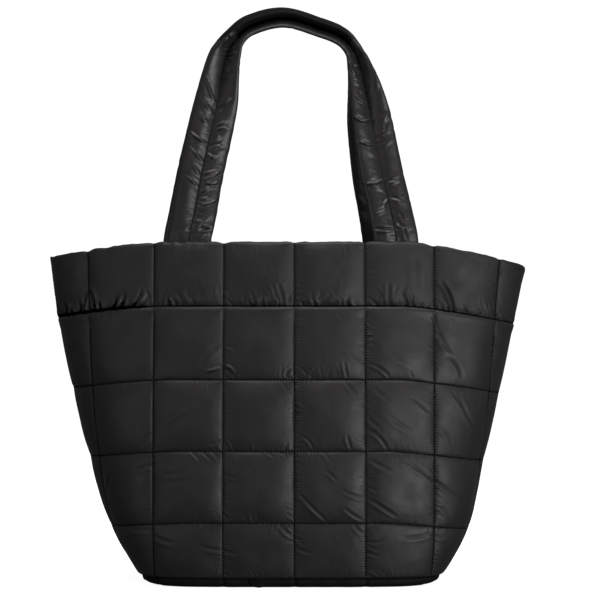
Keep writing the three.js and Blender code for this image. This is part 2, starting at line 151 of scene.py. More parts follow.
def quarter_section(share, hand):
    """A quarter of the bag's outline at a share of its height."""
    row = smooth_through(SECTIONS[:, 0], SECTIONS, share)
    a, b, n = row[COLUMN[hand]] * OPENING_WIDTH / 2, row[3] * BASE_DEPTH / 2, row[4]
    t = np.linspace(0, math.pi / 2, ARC_STEPS + 1)
    x, y = a * np.sin(t) ** (2 / n), b * np.maximum(np.cos(t), 0) ** (2 / n)
    x[-1], y[-1] = a, 0
    length = np.concatenate([[0], np.cumsum(np.hypot(np.diff(x), np.diff(y)))])
    return a, b, n, x, y, length, row[5]


RIM_QUARTER = {hand: quarter_section(1, hand)[5][-1] for hand in SIDE}
WHOLE_SQUARES = 3
SQUARE_ON = (WHOLE_SQUARES - 1) * QUILT


def stitched(along, shares, side):
    """Points of the stitched surface and its outward directions, for distances round the rim and heights."""
    points = np.zeros((len(along), len(shares), 3))
    outward = np.zeros_like(points)
    far = np.abs(along)
    for j, share in enumerate(shares):
        for hand, sign in (("left", -1), ("right", 1)):
            pick = (along < 0) == (sign < 0)
            a, b, n, x, y, length, drop_share = quarter_section(min(share, 1), hand)
            ease = (length[-1] - SQUARE_ON) / (RIM_QUARTER[hand] - SQUARE_ON)
            wanted = np.where(far <= SQUARE_ON, far, SQUARE_ON + (far - SQUARE_ON) * ease)[pick]
            px, py = np.interp(wanted, length, x), np.interp(wanted, length, y)
            ox, oy = (px / a) ** (n - 1) / a, (py / b) ** (n - 1) / b
            size = np.hypot(ox, oy)
            beyond = np.maximum(0, px / a - DROP_START) / (1 - DROP_START)
            fall = SIDE[hand]["drop"] * drop_share * beyond ** SIDE[hand]["curve"]
            z = BASE_SEAM + BAG_HEIGHT * share - fall
            points[pick, j] = np.stack([sign * px, side * py, z], 1)
            outward[pick, j] = np.stack([sign * ox / size, side * oy / size, 0 * z], 1)
    return points, outward


def pad(within):
    """Swell across one square: a low crown with a narrow groove at each stitch line."""
    t = np.abs(2 * within - 1)
    return 0.78 * (1 - np.abs(t) ** 3.0) + 0.22 * np.sqrt(np.maximum(0, 1 - t**40))


def cells(seams, pitch, size_of=1.0):
    """Cell lines between seams: positions, share across each square, square index, seam flags."""
    at, within, square = [], [], []
    for k, (a, b) in enumerate(zip(seams, seams[1:])):
        n = LINING_STEP * max(2, round((b - a) * size_of / pitch / LINING_STEP))
        w = np.arange(n) / n
        at += list(a + (b - a) * w)
        within += list(w)
        square += [k] * n
    at.append(seams[-1])
    within.append(1.0)
    square.append(len(seams) - 2)
    return np.array(at), np.array(within), np.array(square)


def smooth_step(x):
    x = np.clip(x, 0, 1)
    return x * x * (3 - 2 * x)


# Cloth solver

THREAD_STIFFNESS, SLANT_STIFFNESS = 0.9, 0.35
KEPT_SPEED = 0.86


def soft_noise(rng, shape, cell):
    """Smooth random field of about unit size, with features as wide as cell grid steps."""
    coarse = [max(2, int(math.ceil(s / c)) + 2) for s, c in zip(shape, cell)]
    field = rng.standard_normal(coarse)
    for axis in (0, 1):
        x = np.linspace(0, coarse[axis] - 1.001, shape[axis])
        i = x.astype(int)
        f = smooth_step(x - i)
        f = f[:, None] if axis == 0 else f[None, :]
        field = np.take(field, i, axis) * (1 - f) + np.take(field, i + 1, axis) * f
    return field


def pull(x, w, a, b, length, stiff, push_only=False):
    """Moves two sets of grid points towards their distance."""
    a3, b3 = (slice(None),) + a, (slice(None),) + b
    d = x[b3] - x[a3]
    size = np.sqrt((d * d).sum(0)) + 1e-9
    wa, wb = w[a], w[b]
    s = (size - length) / size * stiff / (wa + wb + 1e-9)
    if push_only:
        s = np.minimum(s, 0)
    x[a3] += d * (s * wa)
    x[b3] -= d * (s * wb)


def span(rest, a, b):
    d = rest[(slice(None),) + b] - rest[(slice(None),) + a]
    return np.sqrt((d * d).sum(0))


def cloth_ties(rest, spare_u, spare_v, bend):
    """All the distances that the cloth keeps: threads, slants and the longer ones that resist bending."""
    n, m = spare_u.shape
    ties = []

    def tie(a, b, extra, stiff, push_only=False):
        length = span(rest, a, b) * (1 + extra)
        ties.append((a, b, length.astype(np.float32), stiff, push_only))

    def straight(gap, stiff, push_only):
        for first in range(2 * gap):
            for spare, count in ((spare_u, n), (spare_v, m)):
                low, high = slice(first, count - gap, 2 * gap), slice(first + gap, count, 2 * gap)
                every = slice(None)
                a, b = ((low, every), (high, every)) if spare is spare_u else ((every, low), (every, high))
                tie(a, b, spare[a] if push_only else (spare[a] + spare[b]) / 2, stiff, push_only)

    straight(1, THREAD_STIFFNESS, False)
    spare = (spare_u + spare_v) / 2
    for first in (0, 1):
        for low, high in ((slice(0, m - 1), slice(1, m)), (slice(1, m), slice(0, m - 1))):
            a, b = (slice(first, n - 1, 2), low), (slice(first + 1, n, 2), high)
            tie(a, b, (spare[a] + spare[b]) / 2, SLANT_STIFFNESS)
    straight(2, bend, True)
    straight(4, bend * 0.5, True)
    return ties


def relax(start, rest, normal, free, spare_u, spare_v, rounds, hold, push, bend, cap):
    """Lets cloth with spare length settle. start, rest and normal are 3 x n x m; rest is the padded shape.

    free is 0 at stitches and 1 elsewhere; spare_u and spare_v are shares of extra length along each way.
    hold is the padding's pull back to the rest shape, push the outward pressure, cap the farthest move.
    """
    x = start.copy()
    before = x.copy()
    ties = cloth_ties(rest, spare_u, spare_v, bend)
    drift = normal * (push * free)
    for _ in range(rounds):
        move = (x - before) * KEPT_SPEED
        before = x.copy()
        x += move * free + drift
        gap = ((rest - x) * normal).sum(0)
        x += normal * (gap * hold * free)
        for tie in ties:
            pull(x, free, *tie)
        away = x - rest
        size = np.sqrt((away * away).sum(0)) + 1e-9
        x = rest + away * np.minimum(1, cap / size)
    return x


def grid_normals(p):
    """Unit normals of a grid of points, 3 x n x m."""
    u, v = np.gradient(p, axis=1), np.gradient(p, axis=2)
    n = np.stack([u[1] * v[2] - u[2] * v[1], u[2] * v[0] - u[0] * v[2], u[0] * v[1] - u[1] * v[0]])
    return n / (np.sqrt((n * n).sum(0)) + 1e-12)


def spread_out(field, shape):
    """A grid of vectors read at a finer grid."""
    for axis in (1, 2):
        x = np.linspace(0, field.shape[axis] - 1.0001, shape[axis - 1])
        i = x.astype(int)
        f = x - i
        f = f[None, :, None] if axis == 1 else f[None, None, :]
        field = np.take(field, i, axis) * (1 - f) + np.take(field, i + 1, axis) * f
    return field


def settle(rest, free, spare_u, spare_v, seed, flip, rough=0.0004, rounds=(110, 90), hold=0.02, push=4e-6,
           bend=0.04, cap=0.004):
    """Coarse and then fine settling of one grid of cloth, n x m x 3, which is returned wrinkled."""
    if not SIMULATE:
        return rest
    rng = np.random.default_rng(seed)
    shape = free.shape
    full = np.moveaxis(rest, 2, 0).astype(np.float32)
    normal = (grid_normals(full) * flip).astype(np.float32)
    bumps = soft_noise(rng, shape, (5, 5)) + 0.7 * soft_noise(rng, shape, (11, 11))
    start = full + normal * (bumps * rough * free).astype(np.float32)
    level = np.s_[:, ::2, ::2]
    flat = np.s_[::2, ::2]
    args = (hold, push, bend, cap)
    coarse = relax(start[level].copy(), full[level].copy(), normal[level].copy(),
                   free[flat].astype(np.float32), spare_u[flat].astype(np.float32),
                   spare_v[flat].astype(np.float32), rounds[0], *args)
    moved = spread_out(coarse - full[level], shape).astype(np.float32)
    start = full + moved * free.astype(np.float32) + normal * (
        soft_noise(rng, shape, (3, 3)) * rough * 0.25 * free).astype(np.float32)
    fine = relax(start, full, normal, free.astype(np.float32), spare_u.astype(np.float32),
                 spare_v.astype(np.float32), rounds[1], *args)
    return np.moveaxis(fine, 0, 2).astype(float)


# Creases and puckers that are put into the cloth before it settles

CREASE_STEPS = 15
CREASE_HEIGHT = 0.00072     # of a fold whose depth is 1


def seen_from(points, side):
    """Where the points lie in the picture of that side, in picture points from the upper left."""
    x, y, z = side * -points[..., 0], side * -points[..., 1], points[..., 2]
    deep = (y - CAMERA[1]) / VIEW_SCALE
    return PICTURE_MIDDLE + (x - CAMERA[0]) / deep, PICTURE_MIDDLE - (z - CAMERA[2]) / deep


def crease(u, v, row):
    """One fold over picture points (u, v): a valley with a ridge along its lower or right side."""
    x0, y0, x1, y1, bend, width, depth = row
    reach = 4 * width + abs(bend)
    near = ((u > min(x0, x1) - reach) & (u < max(x0, x1) + reach)
            & (v > min(y0, y1) - reach) & (v < max(y0, y1) + reach))
    made = np.zeros(u.shape)
    if not near.any():
        return made
    pu, pv = u[near], v[near]
    t = np.linspace(0, 1, CREASE_STEPS)
    size = math.hypot(x1 - x0, y1 - y0)
    off_x, off_y = -(y1 - y0) / size, (x1 - x0) / size
    arch = 4 * t * (1 - t) * bend
    cx, cy = x0 + (x1 - x0) * t + off_x * arch, y0 + (y1 - y0) * t + off_y * arch
    best = np.full(pu.shape, 1e9)
    across = np.zeros(pu.shape)
    at = np.zeros(pu.shape)
    for k in range(len(t) - 1):
        dx, dy = cx[k + 1] - cx[k], cy[k + 1] - cy[k]
        piece = math.hypot(dx, dy)
        s = np.clip(((pu - cx[k]) * dx + (pv - cy[k]) * dy) / piece**2, 0, 1)
        ex, ey = pu - cx[k] - dx * s, pv - cy[k] - dy * s
        gap = np.hypot(ex, ey)
        closer = gap < best
        best = np.where(closer, gap, best)
        across = np.where(closer, np.sign(dx * ey - dy * ex) * gap, across)
        at = np.where(closer, (k + s) / (len(t) - 1), at)
    d = across / (width * 0.85)
    fade = np.sin(math.pi * np.clip(at, 0.02, 0.98)) ** 0.7 * (best < 4 * width)
    beside = 0.75 if depth > 0 else 0.30
    shape = -np.exp(-d * d) + beside * np.exp(-((d - 1.7) / 1.2) ** 2) + 0.2 * np.exp(-((d + 1.8) / 1.3) ** 2)
    made[near] = shape * fade * depth * CREASE_HEIGHT
    return made


def ripple_line(rng, at, wave):
    """Uneven ripples along a line, about wave apart."""
    knots = int(np.ptp(at) / (wave / 2)) + 4
    tall = (-1.0) ** np.arange(knots) * (0.35 + rng.random(knots) ** 1.5 * 1.1)
    where = np.cumsum(0.6 + 0.8 * rng.random(knots)) * wave / 2
    where = where - where[0] + at.min() - wave
    x = np.clip(at, where[0], where[-1] - 1e-9)
    i = np.clip(np.searchsorted(where, x, side="right") - 1, 0, knots - 2)
    f = smooth_step((x - where[i]) / (where[i + 1] - where[i]))
    return tall[i] * (1 - f) + tall[i + 1] * f


def puckers(rng, along, away, wave, reach, height, slant=0.0, unruly=0.45):
    """Ripples across a stitch line, which are tallest at reach from it and die out."""
    wander = wave * unruly * soft_noise(rng, along.shape, (7, 7))
    line = ripple_line(rng, along + slant * away + wander * np.minimum(1, away / reach), wave)
    longer = reach * (0.75 + 0.6 * smooth_step(0.5 + 0.6 * soft_noise(rng, along.shape, (12, 12))))
    return height * line * (away / longer) * np.exp(1 - away / longer)


# Meshes

def make_mesh(name, points, faces, material):
    mesh = bpy.data.meshes.new(name)
    mesh.from_pydata(np.asarray(points, float).tolist(), [], faces)
    mesh.polygons.foreach_set("use_smooth", np.ones(len(mesh.polygons), bool))
    mesh.materials.append(material)
    mesh.update()
    piece = bpy.data.objects.new(name, mesh)
    bpy.context.scene.collection.objects.link(piece)
    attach(piece, "root")
    return piece


def grid_quads(n, m, start=0):
    i, j = np.meshgrid(np.arange(n - 1), np.arange(m - 1), indexing="ij")
    a = start + i * m + j
    return np.stack([a, a + m, a + m + 1, a + 1], -1).reshape(-1, 4)


def unit(v):
    """Vectors of length one along the given ones."""
    return v / (np.linalg.norm(v, axis=-1, keepdims=True) + 1e-12)


def ring_faces(rings, sides, start=0):
    """Faces of a tube whose rings of points follow one another."""
    faces = []
    for ring in range(rings - 1):
        for k in range(sides):
            a, b = start + ring * sides + k, start + ring * sides + (k + 1) % sides
            faces.append((a, b, b + sides, a + sides))
    return faces


def weld(piece, distance):
    """Joins points that lie within the distance, and turns all faces outwards."""
    made = bmesh.new()
    made.from_mesh(piece.data)
    bmesh.ops.remove_doubles(made, verts=made.verts, dist=distance)
    bmesh.ops.dissolve_degenerate(made, edges=made.edges, dist=1e-7)
    bmesh.ops.recalc_face_normals(made, faces=made.faces)
    made.to_mesh(piece.data)
    made.free()


def shell_faces(n, m, step, flip):
    """Faces of a closed shell: a fine outer grid, an inner grid with every step-th line, and the edge."""
    big_n, big_m = (n - 1) // step + 1, (m - 1) // step + 1
    outer = grid_quads(n, m)
    inner = grid_quads(big_n, big_m, n * m)[:, ::-1]
    ring = ([(i, 0) for i in range(n - 1)] + [(n - 1, j) for j in range(m - 1)]
            + [(i, m - 1) for i in range(n - 1, 0, -1)] + [(0, j) for j in range(m - 1, 0, -1)])
    fine = [i * m + j for i, j in ring]
    coarse = [n * m + (i // step) * big_m + j // step for i, j in ring[::step]]
    edge = []
    for k in range(0, len(fine), step):
        c0, c1 = coarse[k // step], coarse[(k // step + 1) % len(coarse)]
        for s in range(step):
            f0, f1 = fine[k + s], fine[(k + s + 1) % len(fine)]
            edge.append((f1, f0, c0 if s < step // 2 else c1))
            if s == step // 2 - 1:
                edge.append((f1, c0, c1))
    faces = [tuple(f) for f in outer.tolist()] + [tuple(f) for f in inner.tolist()] + edge
    return [f[::-1] for f in faces] if flip else faces


# Materials

def node(tree, kind, **sockets):
    made = tree.nodes.new(kind)
    for name, value in sockets.items():
        made.inputs[name.replace("_", " ")].default_value = value
    return made


def nylon(name, dark, light, rough_low, rough_high, weave=0.05, ripple=0.12, shine=0.38, sheen=0.04):
    """Satin woven nylon: colour that varies a little, fine weave, soft ripples, uneven gloss and painted
    shade read from the mesh.
    """
    material = bpy.data.materials.new(name)
    material.use_nodes = True
    tree = material.node_tree
    link = tree.links.new
    shader = tree.nodes["Principled BSDF"]
    shader.inputs["Specular IOR Level"].default_value = shine
    shader.inputs["Sheen Weight"].default_value = sheen
    shader.inputs["Sheen Roughness"].default_value = 0.45
    place = tree.nodes.new("ShaderNodeTexCoord")

    def noise(scale, detail):
        made = node(tree, "ShaderNodeTexNoise", Scale=scale, Detail=detail)
        link(place.outputs["Object"], made.inputs["Vector"])
        return made.outputs["Fac"]

    def ramp(source, low, high, start=0.3, end=0.7):
        made = tree.nodes.new("ShaderNodeValToRGB")
        made.color_ramp.elements[0].position, made.color_ramp.elements[1].position = start, end
        made.color_ramp.elements[0].color, made.color_ramp.elements[1].color = low, high
        link(source, made.inputs["Fac"])
        return made.outputs["Color"]

    # Painted shade: the third value that the mesh holds with its stitch ticks mixes the colour towards a
    # tenth of its dark colour, and makes the cloth rougher.
    painted_shade_attr = read_xyz(tree, "pinch_and_painted_shade")
    darker = node(tree, "ShaderNodeMix")
    darker.data_type = "RGBA"
    link(ramp(noise(28, 5), (*dark, 1), (*light, 1)), darker.inputs[6])
    darker.inputs[7].default_value = (*(0.1 * v for v in dark), 1)
    link(painted_shade_attr.outputs["Z"], darker.inputs[0])
    link(darker.outputs[2], shader.inputs["Base Color"])
    gloss = ramp(noise(60, 4), (rough_low,) * 3 + (1,), (rough_high,) * 3 + (1,))
    matt = tree.nodes.new("ShaderNodeMath")
    matt.operation = "MULTIPLY_ADD"
    link(painted_shade_attr.outputs["Z"], matt.inputs[0])
    matt.inputs[1].default_value = 0.5      # how much rougher the shaded cloth is
    link(gloss, matt.inputs[2])
    link(matt.outputs[0], shader.inputs["Roughness"])
    threads = node(tree, "ShaderNodeTexWave", Scale=900.0, Distortion=0.6)
    threads.wave_type, threads.bands_direction = "BANDS", "DIAGONAL"
    link(place.outputs["Object"], threads.inputs["Vector"])
    first = node(tree, "ShaderNodeBump", Strength=ripple, Distance=0.004)
    link(noise(70, 3), first.inputs["Height"])
    second = node(tree, "ShaderNodeBump", Strength=weave, Distance=0.0003)
    link(threads.outputs["Fac"], second.inputs["Height"])
    link(first.outputs["Normal"], second.inputs["Normal"])
    third = node(tree, "ShaderNodeBump", Strength=1.0, Distance=0.00045)
    link(pinches(tree), third.inputs["Height"])
    link(second.outputs["Normal"], third.inputs["Normal"])
    link(third.outputs["Normal"], shader.inputs["Normal"])
    return material


def read_xyz(tree, name):
    """The three values that the mesh holds under that name."""
    read = tree.nodes.new("ShaderNodeAttribute")
    read.attribute_name = name
    split = tree.nodes.new("ShaderNodeSeparateXYZ")
    tree.links.new(read.outputs["Vector"], split.inputs[0])
    return split


def pinches(tree):
    """Height of the small ticks that the stitches pull into the cloth."""
    link = tree.links.new
    parts = {name: read_xyz(tree, name) for name in ("stitch_run", "pinch_and_painted_shade")}
    total = None
    for k in (0, 1):
        turns = tree.nodes.new("ShaderNodeMath")
        turns.operation = "MULTIPLY"
        turns.inputs[1].default_value = 2 * math.pi / (STITCH + STITCH_GAP)
        link(parts["stitch_run"].outputs[k], turns.inputs[0])
        wave = tree.nodes.new("ShaderNodeMath")
        wave.operation = "SINE"
        link(turns.outputs[0], wave.inputs[0])
        made = tree.nodes.new("ShaderNodeMath")
        made.operation = "MULTIPLY_ADD"
        made.inputs[2].default_value = 0.0
        link(wave.outputs[0], made.inputs[0])
        link(parts["pinch_and_painted_shade"].outputs[k], made.inputs[1])
        if total is not None:
            link(total, made.inputs[2])
        total = made.outputs[0]
    return total


quilted = nylon("quilted_nylon", (0.0125, 0.0116, 0.0119), (0.0175, 0.0163, 0.0167), 0.42, 0.54)
strap_cloth = nylon("strap_nylon", (0.0145, 0.0134, 0.0138), (0.0195, 0.0181, 0.0186), 0.31, 0.42, shine=0.46)
# A darker, matter copy of the strap cloth for the folded arch: painted shade.
strap_arch_painted_shade = nylon("strap_arch_painted_shade", (0.008, 0.0076, 0.0077), (0.011, 0.0104, 0.0106), 0.45, 0.55,
                   shine=0.2, sheen=0)
# Near-black: painted shade deep in the strap's folded arch and in the band's pockets.
fold_painted_shade = nylon("fold_painted_shade", (0.0006, 0.0005, 0.0005), (0.001, 0.0009, 0.0009), 0.8, 0.9,
                   shine=0.03, sheen=0)
# Darker than the quilted cloth: painted shade under the overhanging body.
base_cloth_painted_shade = nylon("base_nylon", (0.0040, 0.0038, 0.0039), (0.0065, 0.0062, 0.0063), 0.55, 0.68,
                   shine=0.1, sheen=0)
tab_cloth = nylon("tab_cloth", (0.003, 0.0038, 0.0034), (0.006, 0.0075, 0.0066), 0.8, 0.95, weave=0.4,
                  shine=0.1, sheen=0)
# Near-black: painted shade in the needle holes.
painted_hole_shade = nylon("needle_hole_painted_shade", (0.0006, 0.0006, 0.0006), (0.001, 0.001, 0.001), 0.8, 0.9, shine=0.05, sheen=0)
# Black thread made darker than the cloth: partly its own colour, partly painted shade of the stitch grooves.
thread = nylon("thread", (0.0045, 0.0042, 0.0043), (0.007, 0.0066, 0.0068), 0.5, 0.65, shine=0.22, sheen=0)


# Folds in the quilted cloth, seen from the front: from x, y to x, y in picture points, how far the line
# bows, and its width and depth in millimetres.
CREASES = np.array([
    # band
    (67, 321, 65, 303, 1, 1.9, 3.4), (73, 321, 70, 308, 1, 1.8, 3.4), (79, 319, 80, 301, 1, 1.8, 3.8),
    (84, 318, 88, 292, -2, 1.8, 4.2), (95, 317, 89, 289, 2, 1.9, 4.4), (101, 317, 98, 301, 1, 1.8, 3.6),
    (107, 316, 117, 296, 2, 2.0, 3.4), (115, 315, 125, 293, 2, 2.0, 3.2), (124, 314, 141, 291, 3, 2.1, 2.8),
    (133, 312, 148, 295, 2, 1.8, 1.6), (182, 310, 178, 292, 1, 1.5, 0.8), (195, 311, 189, 290, 1, 1.6, 1.1),
    (256, 310, 250, 290, 1, 1.6, 1.2), (264, 310, 262, 295, 0, 1.4, 0.9), (285, 310, 276, 282, 2, 2.2, 0.8),
    (288, 310, 290, 295, 0, 1.4, 1.1), (319, 310, 312, 292, -2, 1.6, 1.5),
    (296, 300, 306, 310, -2, 1.3, 1.0), (225, 299, 233, 309, -2, 1.3, 1.0),
    (367, 298, 379, 313, -3, 1.6, 1.5), (388, 284, 390, 312, 0, 1.9, 1.6),
    (401, 313, 399, 303, 0, 1.4, 0.9), (417, 252, 418, 300, 0, 4.0, 0.6),
    (441, 281, 453, 319, -4, 1.8, 3.6), (467, 318, 465, 303, 0, 1.5, 1.2),
    (500, 327, 497, 312, 0, 1.6, 1.2), (508, 329, 504, 314, 0, 1.6, 1.2), (233, 242, 236, 251, 0, 1.3, 0.8),
    (257, 242, 259, 252, 0, 1.4, 0.8), (346, 243, 347, 254, 0, 1.5, 0.9),
    # first row below the band
    (205, 371, 222, 365, 2, 1.8, -2.6), (224, 366, 234, 373, -2, 1.7, -2.6),
    (196, 371, 221, 343, -3, 3.0, 0.7), (225, 346, 236, 351, -1, 1.6, 0.8),
    (286, 377, 294, 367, -2, 1.4, 0.9), (296, 366, 308, 378, -2, 1.3, 1.0),
    (344, 362, 347, 377, 0, 1.5, 1.2), (345, 346, 366, 363, 1, 3.0, 0.6), (336, 313, 343, 320, 0, 1.4, 0.8),
    (368, 364, 390, 378, -3, 1.6, 1.4), (386, 349, 412, 365, 1, 2.6, 0.6),
    (435, 325, 454, 354, 2, 2.4, 1.0), (447, 355, 462, 379, -3, 2.2, 1.3),
    (138, 377, 149, 365, -2, 1.8, 0.7), (410, 372, 413, 379, 0, 1.4, 0.7),
    (440, 340, 452, 352, 2, 2.0, 0.8),
    # second row
    (141, 448, 152, 432, -2, 1.8, 0.9), (162, 427, 196, 407, -2, 3.6, -0.9),
    (206, 445, 222, 439, 1, 1.6, 0.9), (281, 381, 291, 393, 1, 1.5, 0.5),
    (225, 438, 233, 449, -2, 1.3, 0.9), (297, 434, 313, 449, -3, 1.4, 1.1),
    (345, 381, 357, 394, 1, 1.8, 1.0), (347, 436, 351, 450, 0, 1.6, 1.2), (368, 417, 381, 427, 2, 2.0, 1.0),
    (368, 430, 388, 451, -3, 1.8, 1.2), (411, 397, 430, 412, 0, 2.0, 0.8),
    (386, 414, 414, 432, 1, 2.8, 0.8), (457, 390, 479, 434, 2, 2.0, 0.8), (452, 390, 466, 410, 1, 1.8, 0.6),
    (374, 388, 388, 399, 1, 2.2, 0.6), (440, 430, 452, 444, -2, 1.8, 0.8),
    # third row
    (132, 470, 156, 463, 1, 2.0, 0.9), (109, 474, 107, 493, 0, 1.6, 0.8), (158, 473, 187, 471, 2, 2.6, 0.8),
    (191, 451, 199, 460, 0, 1.5, 1.3), (202, 451, 210, 460, 0, 1.5, 1.3), (212, 451, 218, 459, 0, 1.5, 1.2),
    (219, 513, 228, 521, -2, 1.4, 1.0), (266, 451, 274, 458, 0, 1.4, 1.0),
    (279, 451, 287, 457, 0, 1.4, 0.9), (224, 474, 238, 478, 1, 1.6, 0.8), (323, 453, 330, 460, 0, 1.4, 0.9),
    (326, 472, 336, 480, -1, 1.6, 1.0), (298, 492, 327, 521, 1, 1.9, 1.2),
    (343, 491, 365, 498, 1, 1.8, 0.8), (344, 508, 364, 521, 1, 1.8, 0.8), (370, 460, 392, 470, 1, 2.2, 1.0),
    (369, 499, 396, 516, 0, 1.9, 1.5), (406, 461, 463, 498, 1, 2.0, 1.3), (410, 459, 432, 476, 1, 1.8, 0.8),
    (368, 486, 378, 491, 1, 1.6, 0.8), (436, 505, 452, 520, -2, 1.8, 0.8),
    # last row
    (127, 528, 151, 530, 1, 2.0, 0.8), (152, 535, 174, 543, 1, 2.4, 0.9), (200, 546, 221, 550, 1, 2.0, 0.8),
    (221, 549, 236, 554, 1, 1.8, 0.8), (279, 524, 292, 536, 1, 1.8, 1.2), (296, 548, 312, 553, 1, 1.8, 0.8),
    (353, 524, 364, 534, 1, 1.8, 1.2), (366, 543, 384, 540, 1, 1.8, 1.0), (366, 552, 378, 555, 1, 1.6, 0.8),
    (401, 537, 431, 533, 2, 2.4, 1.0), (428, 533, 446, 538, 1, 1.8, 0.9),
])

# The same for the straps
STRAP_CREASES = np.array([
    # left half, outer side of the stitch line
    (205, 74, 214, 102, 1, 1.4, -1.2), (205, 100, 212, 113, 1, 1.5, -0.6),
    (200, 111, 208, 123, 2, 2.4, -0.8), (191, 132, 206, 143, 1, 1.4, -1.3),
    (190, 147, 203, 163, 0, 1.5, -0.9), (192, 163, 200, 178, 0, 1.6, -0.5),
    (187, 176, 198, 187, 0, 1.5, -0.7), (186, 232, 190, 228, 0, 1.4, 0.7),
    # left half, inner side
    (224, 54, 236, 51, 2, 1.3, -1.6), (224, 58, 233, 57, 1, 1.3, -1.0), (224, 50, 237, 43, 2, 1.2, -1.0),
    (225, 46, 238, 38, 2, 1.2, -0.9), (229, 33, 233, 40, 0, 1.5, -1.3), (230, 42, 237, 36, 1, 1.2, -0.9),
    (221, 79, 232, 73, 1, 1.3, -0.9), (221, 73, 229, 66, 1, 1.3, -0.6), (216, 108, 231, 97, 1, 1.4, -1.4),
    (216, 114, 222, 111, 0, 1.3, -0.6), (214, 126, 227, 120, 1, 1.3, -0.8),
    (217, 130, 227, 127, 0, 1.3, -1.2), (208, 145, 221, 136, 1, 1.4, -1.1),
    (213, 149, 222, 146, -1, 1.4, -1.0), (209, 158, 217, 154, 1, 1.3, -0.9),
    (209, 151, 216, 156, 1, 1.3, 0.7), (204, 181, 221, 170, 1, 1.3, -1.5),
    (202, 174, 220, 168, 1, 1.3, -0.8), (206, 182, 218, 182, 2, 1.4, -1.4),
    (200, 192, 211, 186, 1, 1.5, -1.0), (203, 205, 216, 200, 1, 1.4, -1.4),
    (200, 199, 208, 197, 1, 1.4, -0.6), (194, 229, 202, 221, 1, 1.4, -0.8),
    (200, 229, 211, 229, 0, 1.8, 1.8),
    # right half, inner side
    (352, 52, 359, 55, 1, 1.3, -1.2), (355, 64, 361, 66, 1, 1.3, -1.2), (350, 61, 356, 75, 2, 1.3, -1.0),
    (354, 77, 362, 81, 1, 1.2, -0.7), (355, 82, 364, 87, 1, 1.3, -1.0), (360, 89, 368, 97, 1, 1.4, -0.6),
    (355, 95, 368, 105, 1, 1.4, -1.2), (354, 115, 372, 118, 5, 1.5, -1.7),
    (360, 141, 373, 146, 1, 1.4, -1.5), (366, 184, 384, 180, 1, 1.6, -1.5),
    (383, 206, 388, 199, 0, 1.4, -1.0), (376, 215, 386, 210, 0, 1.6, -0.7),
    (362, 198, 368, 203, 0, 1.8, 0.9), (375, 229, 396, 229, 0, 1.6, 1.7),
    (372, 185, 386, 191, 1, 1.8, -0.4),
    # right half, outer side
    (382, 121, 388, 111, 1, 2.2, -0.6), (376, 64, 377, 98, 0, 1.8, -0.5),
    (387, 183, 400, 180, 1, 1.5, -0.6), (390, 197, 402, 201, -1, 1.8, 0.6),
    (399, 226, 407, 229, 1, 1.4, -1.0), (397, 221, 407, 239, -2, 1.5, 1.3),
    (398, 212, 404, 222, -1, 1.6, 0.6),
])


# Quilted panels

# Where a change starts in the picture of a side and over how far it goes, in picture points.
PULLED = (190, 110)                                     # to the right the thread pinches harder
CALM = (440, 30)                                        # to the right the band's gathers die down
BAND_SHADE = (350, 60)                                  # to the right the band gets a little painted shade
COLUMN_SHADE = (430, 20)                                # to the right the body gets a little painted shade, between these heights
SHADE_TOP, SHADE_END = (385, 15), (525, 15)             # between these heights
GATHERED, CLOSED, POCKETS = (160, 60), (165, 50), (160, 50)     # to the left the band is drawn in, and gets more painted shade at its bottom and a near-black painted-shade material under the body's edge and in its pockets

BAND_SHARE = 1 - BAND_HEIGHT / BAG_HEIGHT
ROW_SEAMS = [0.0] + [BAND_SHARE - k * QUILT / BAG_HEIGHT for k in (3, 2, 1)] + [BAND_SHARE]
RIM_FOLD = 0.003     # radius of the folded rim
ROLL_RADIUS, ROLL_DROP = 0.0033, 0.0014     # of the body's top edge, below the band
BAND_FULLEST = 0.45     # share of the band's height where it swells most
OUTLINE_STEPS = 80


def past(x, start, over):
    """Rises from 0 at the start to 1 that far beyond it."""
    return smooth_step((x - start) / over)


def before(x, start, over):
    """Falls from 1 to 0 at the start, over that far below it."""
    return smooth_step((start - x) / over)


def near_rim(share):
    """1 at the rim, 0 below it, at a share of the bag's height."""
    return past(share, 0.93, 0.05)


def keep_to_side(points, side):
    """Holds points on their own side of the side seams."""
    points[:, :, 1] = side * np.maximum(SEAM_GAP / 2, side * points[:, :, 1])


def mark(piece, name, *fields):
    """Gives the cloth's points three values that the material reads; a lining's points get none."""
    spare = len(piece.data.vertices) - fields[0].size
    made = piece.data.attributes.new(name, "FLOAT_VECTOR", "POINT")
    rows = np.stack([field.ravel() for field in fields], 1)
    made.data.foreach_set("vector", np.concatenate([rows, np.zeros((spare, 3))]).ravel())


def column_seams(side):
    """Places of the upright stitch lines, with the side seams at both ends."""
    squares = [k * QUILT - side * QUILT_SHIFT for k in range(-WHOLE_SQUARES, WHOLE_SQUARES + 1)]
    return [-RIM_QUARTER["left"], *squares, RIM_QUARTER["right"]]


def even_steps(path, count):
    """Points at even distances along a polyline."""
    length = np.concatenate([[0], np.cumsum(np.hypot(*np.diff(path, axis=0).T))])
    at = np.linspace(0, length[-1], count + 1)
    return np.stack([np.interp(at, length, path[:, k]) for k in (0, 1)], 1)


def cloth_steps(path, pitch):
    """The path in even steps of about the pitch, in whole cells of the lining."""
    length = np.hypot(*np.diff(path, axis=0).T).sum()
    return even_steps(path, LINING_STEP * round(length / pitch / LINING_STEP))


def arc(centre_out, centre_up, radius, start, end, steps=16):
    """Points on a round bend, from and to in degrees."""
    t = np.radians(np.linspace(start, end, steps))
    return np.stack([centre_out + radius * np.cos(t), centre_up + radius * np.sin(t)], 1)


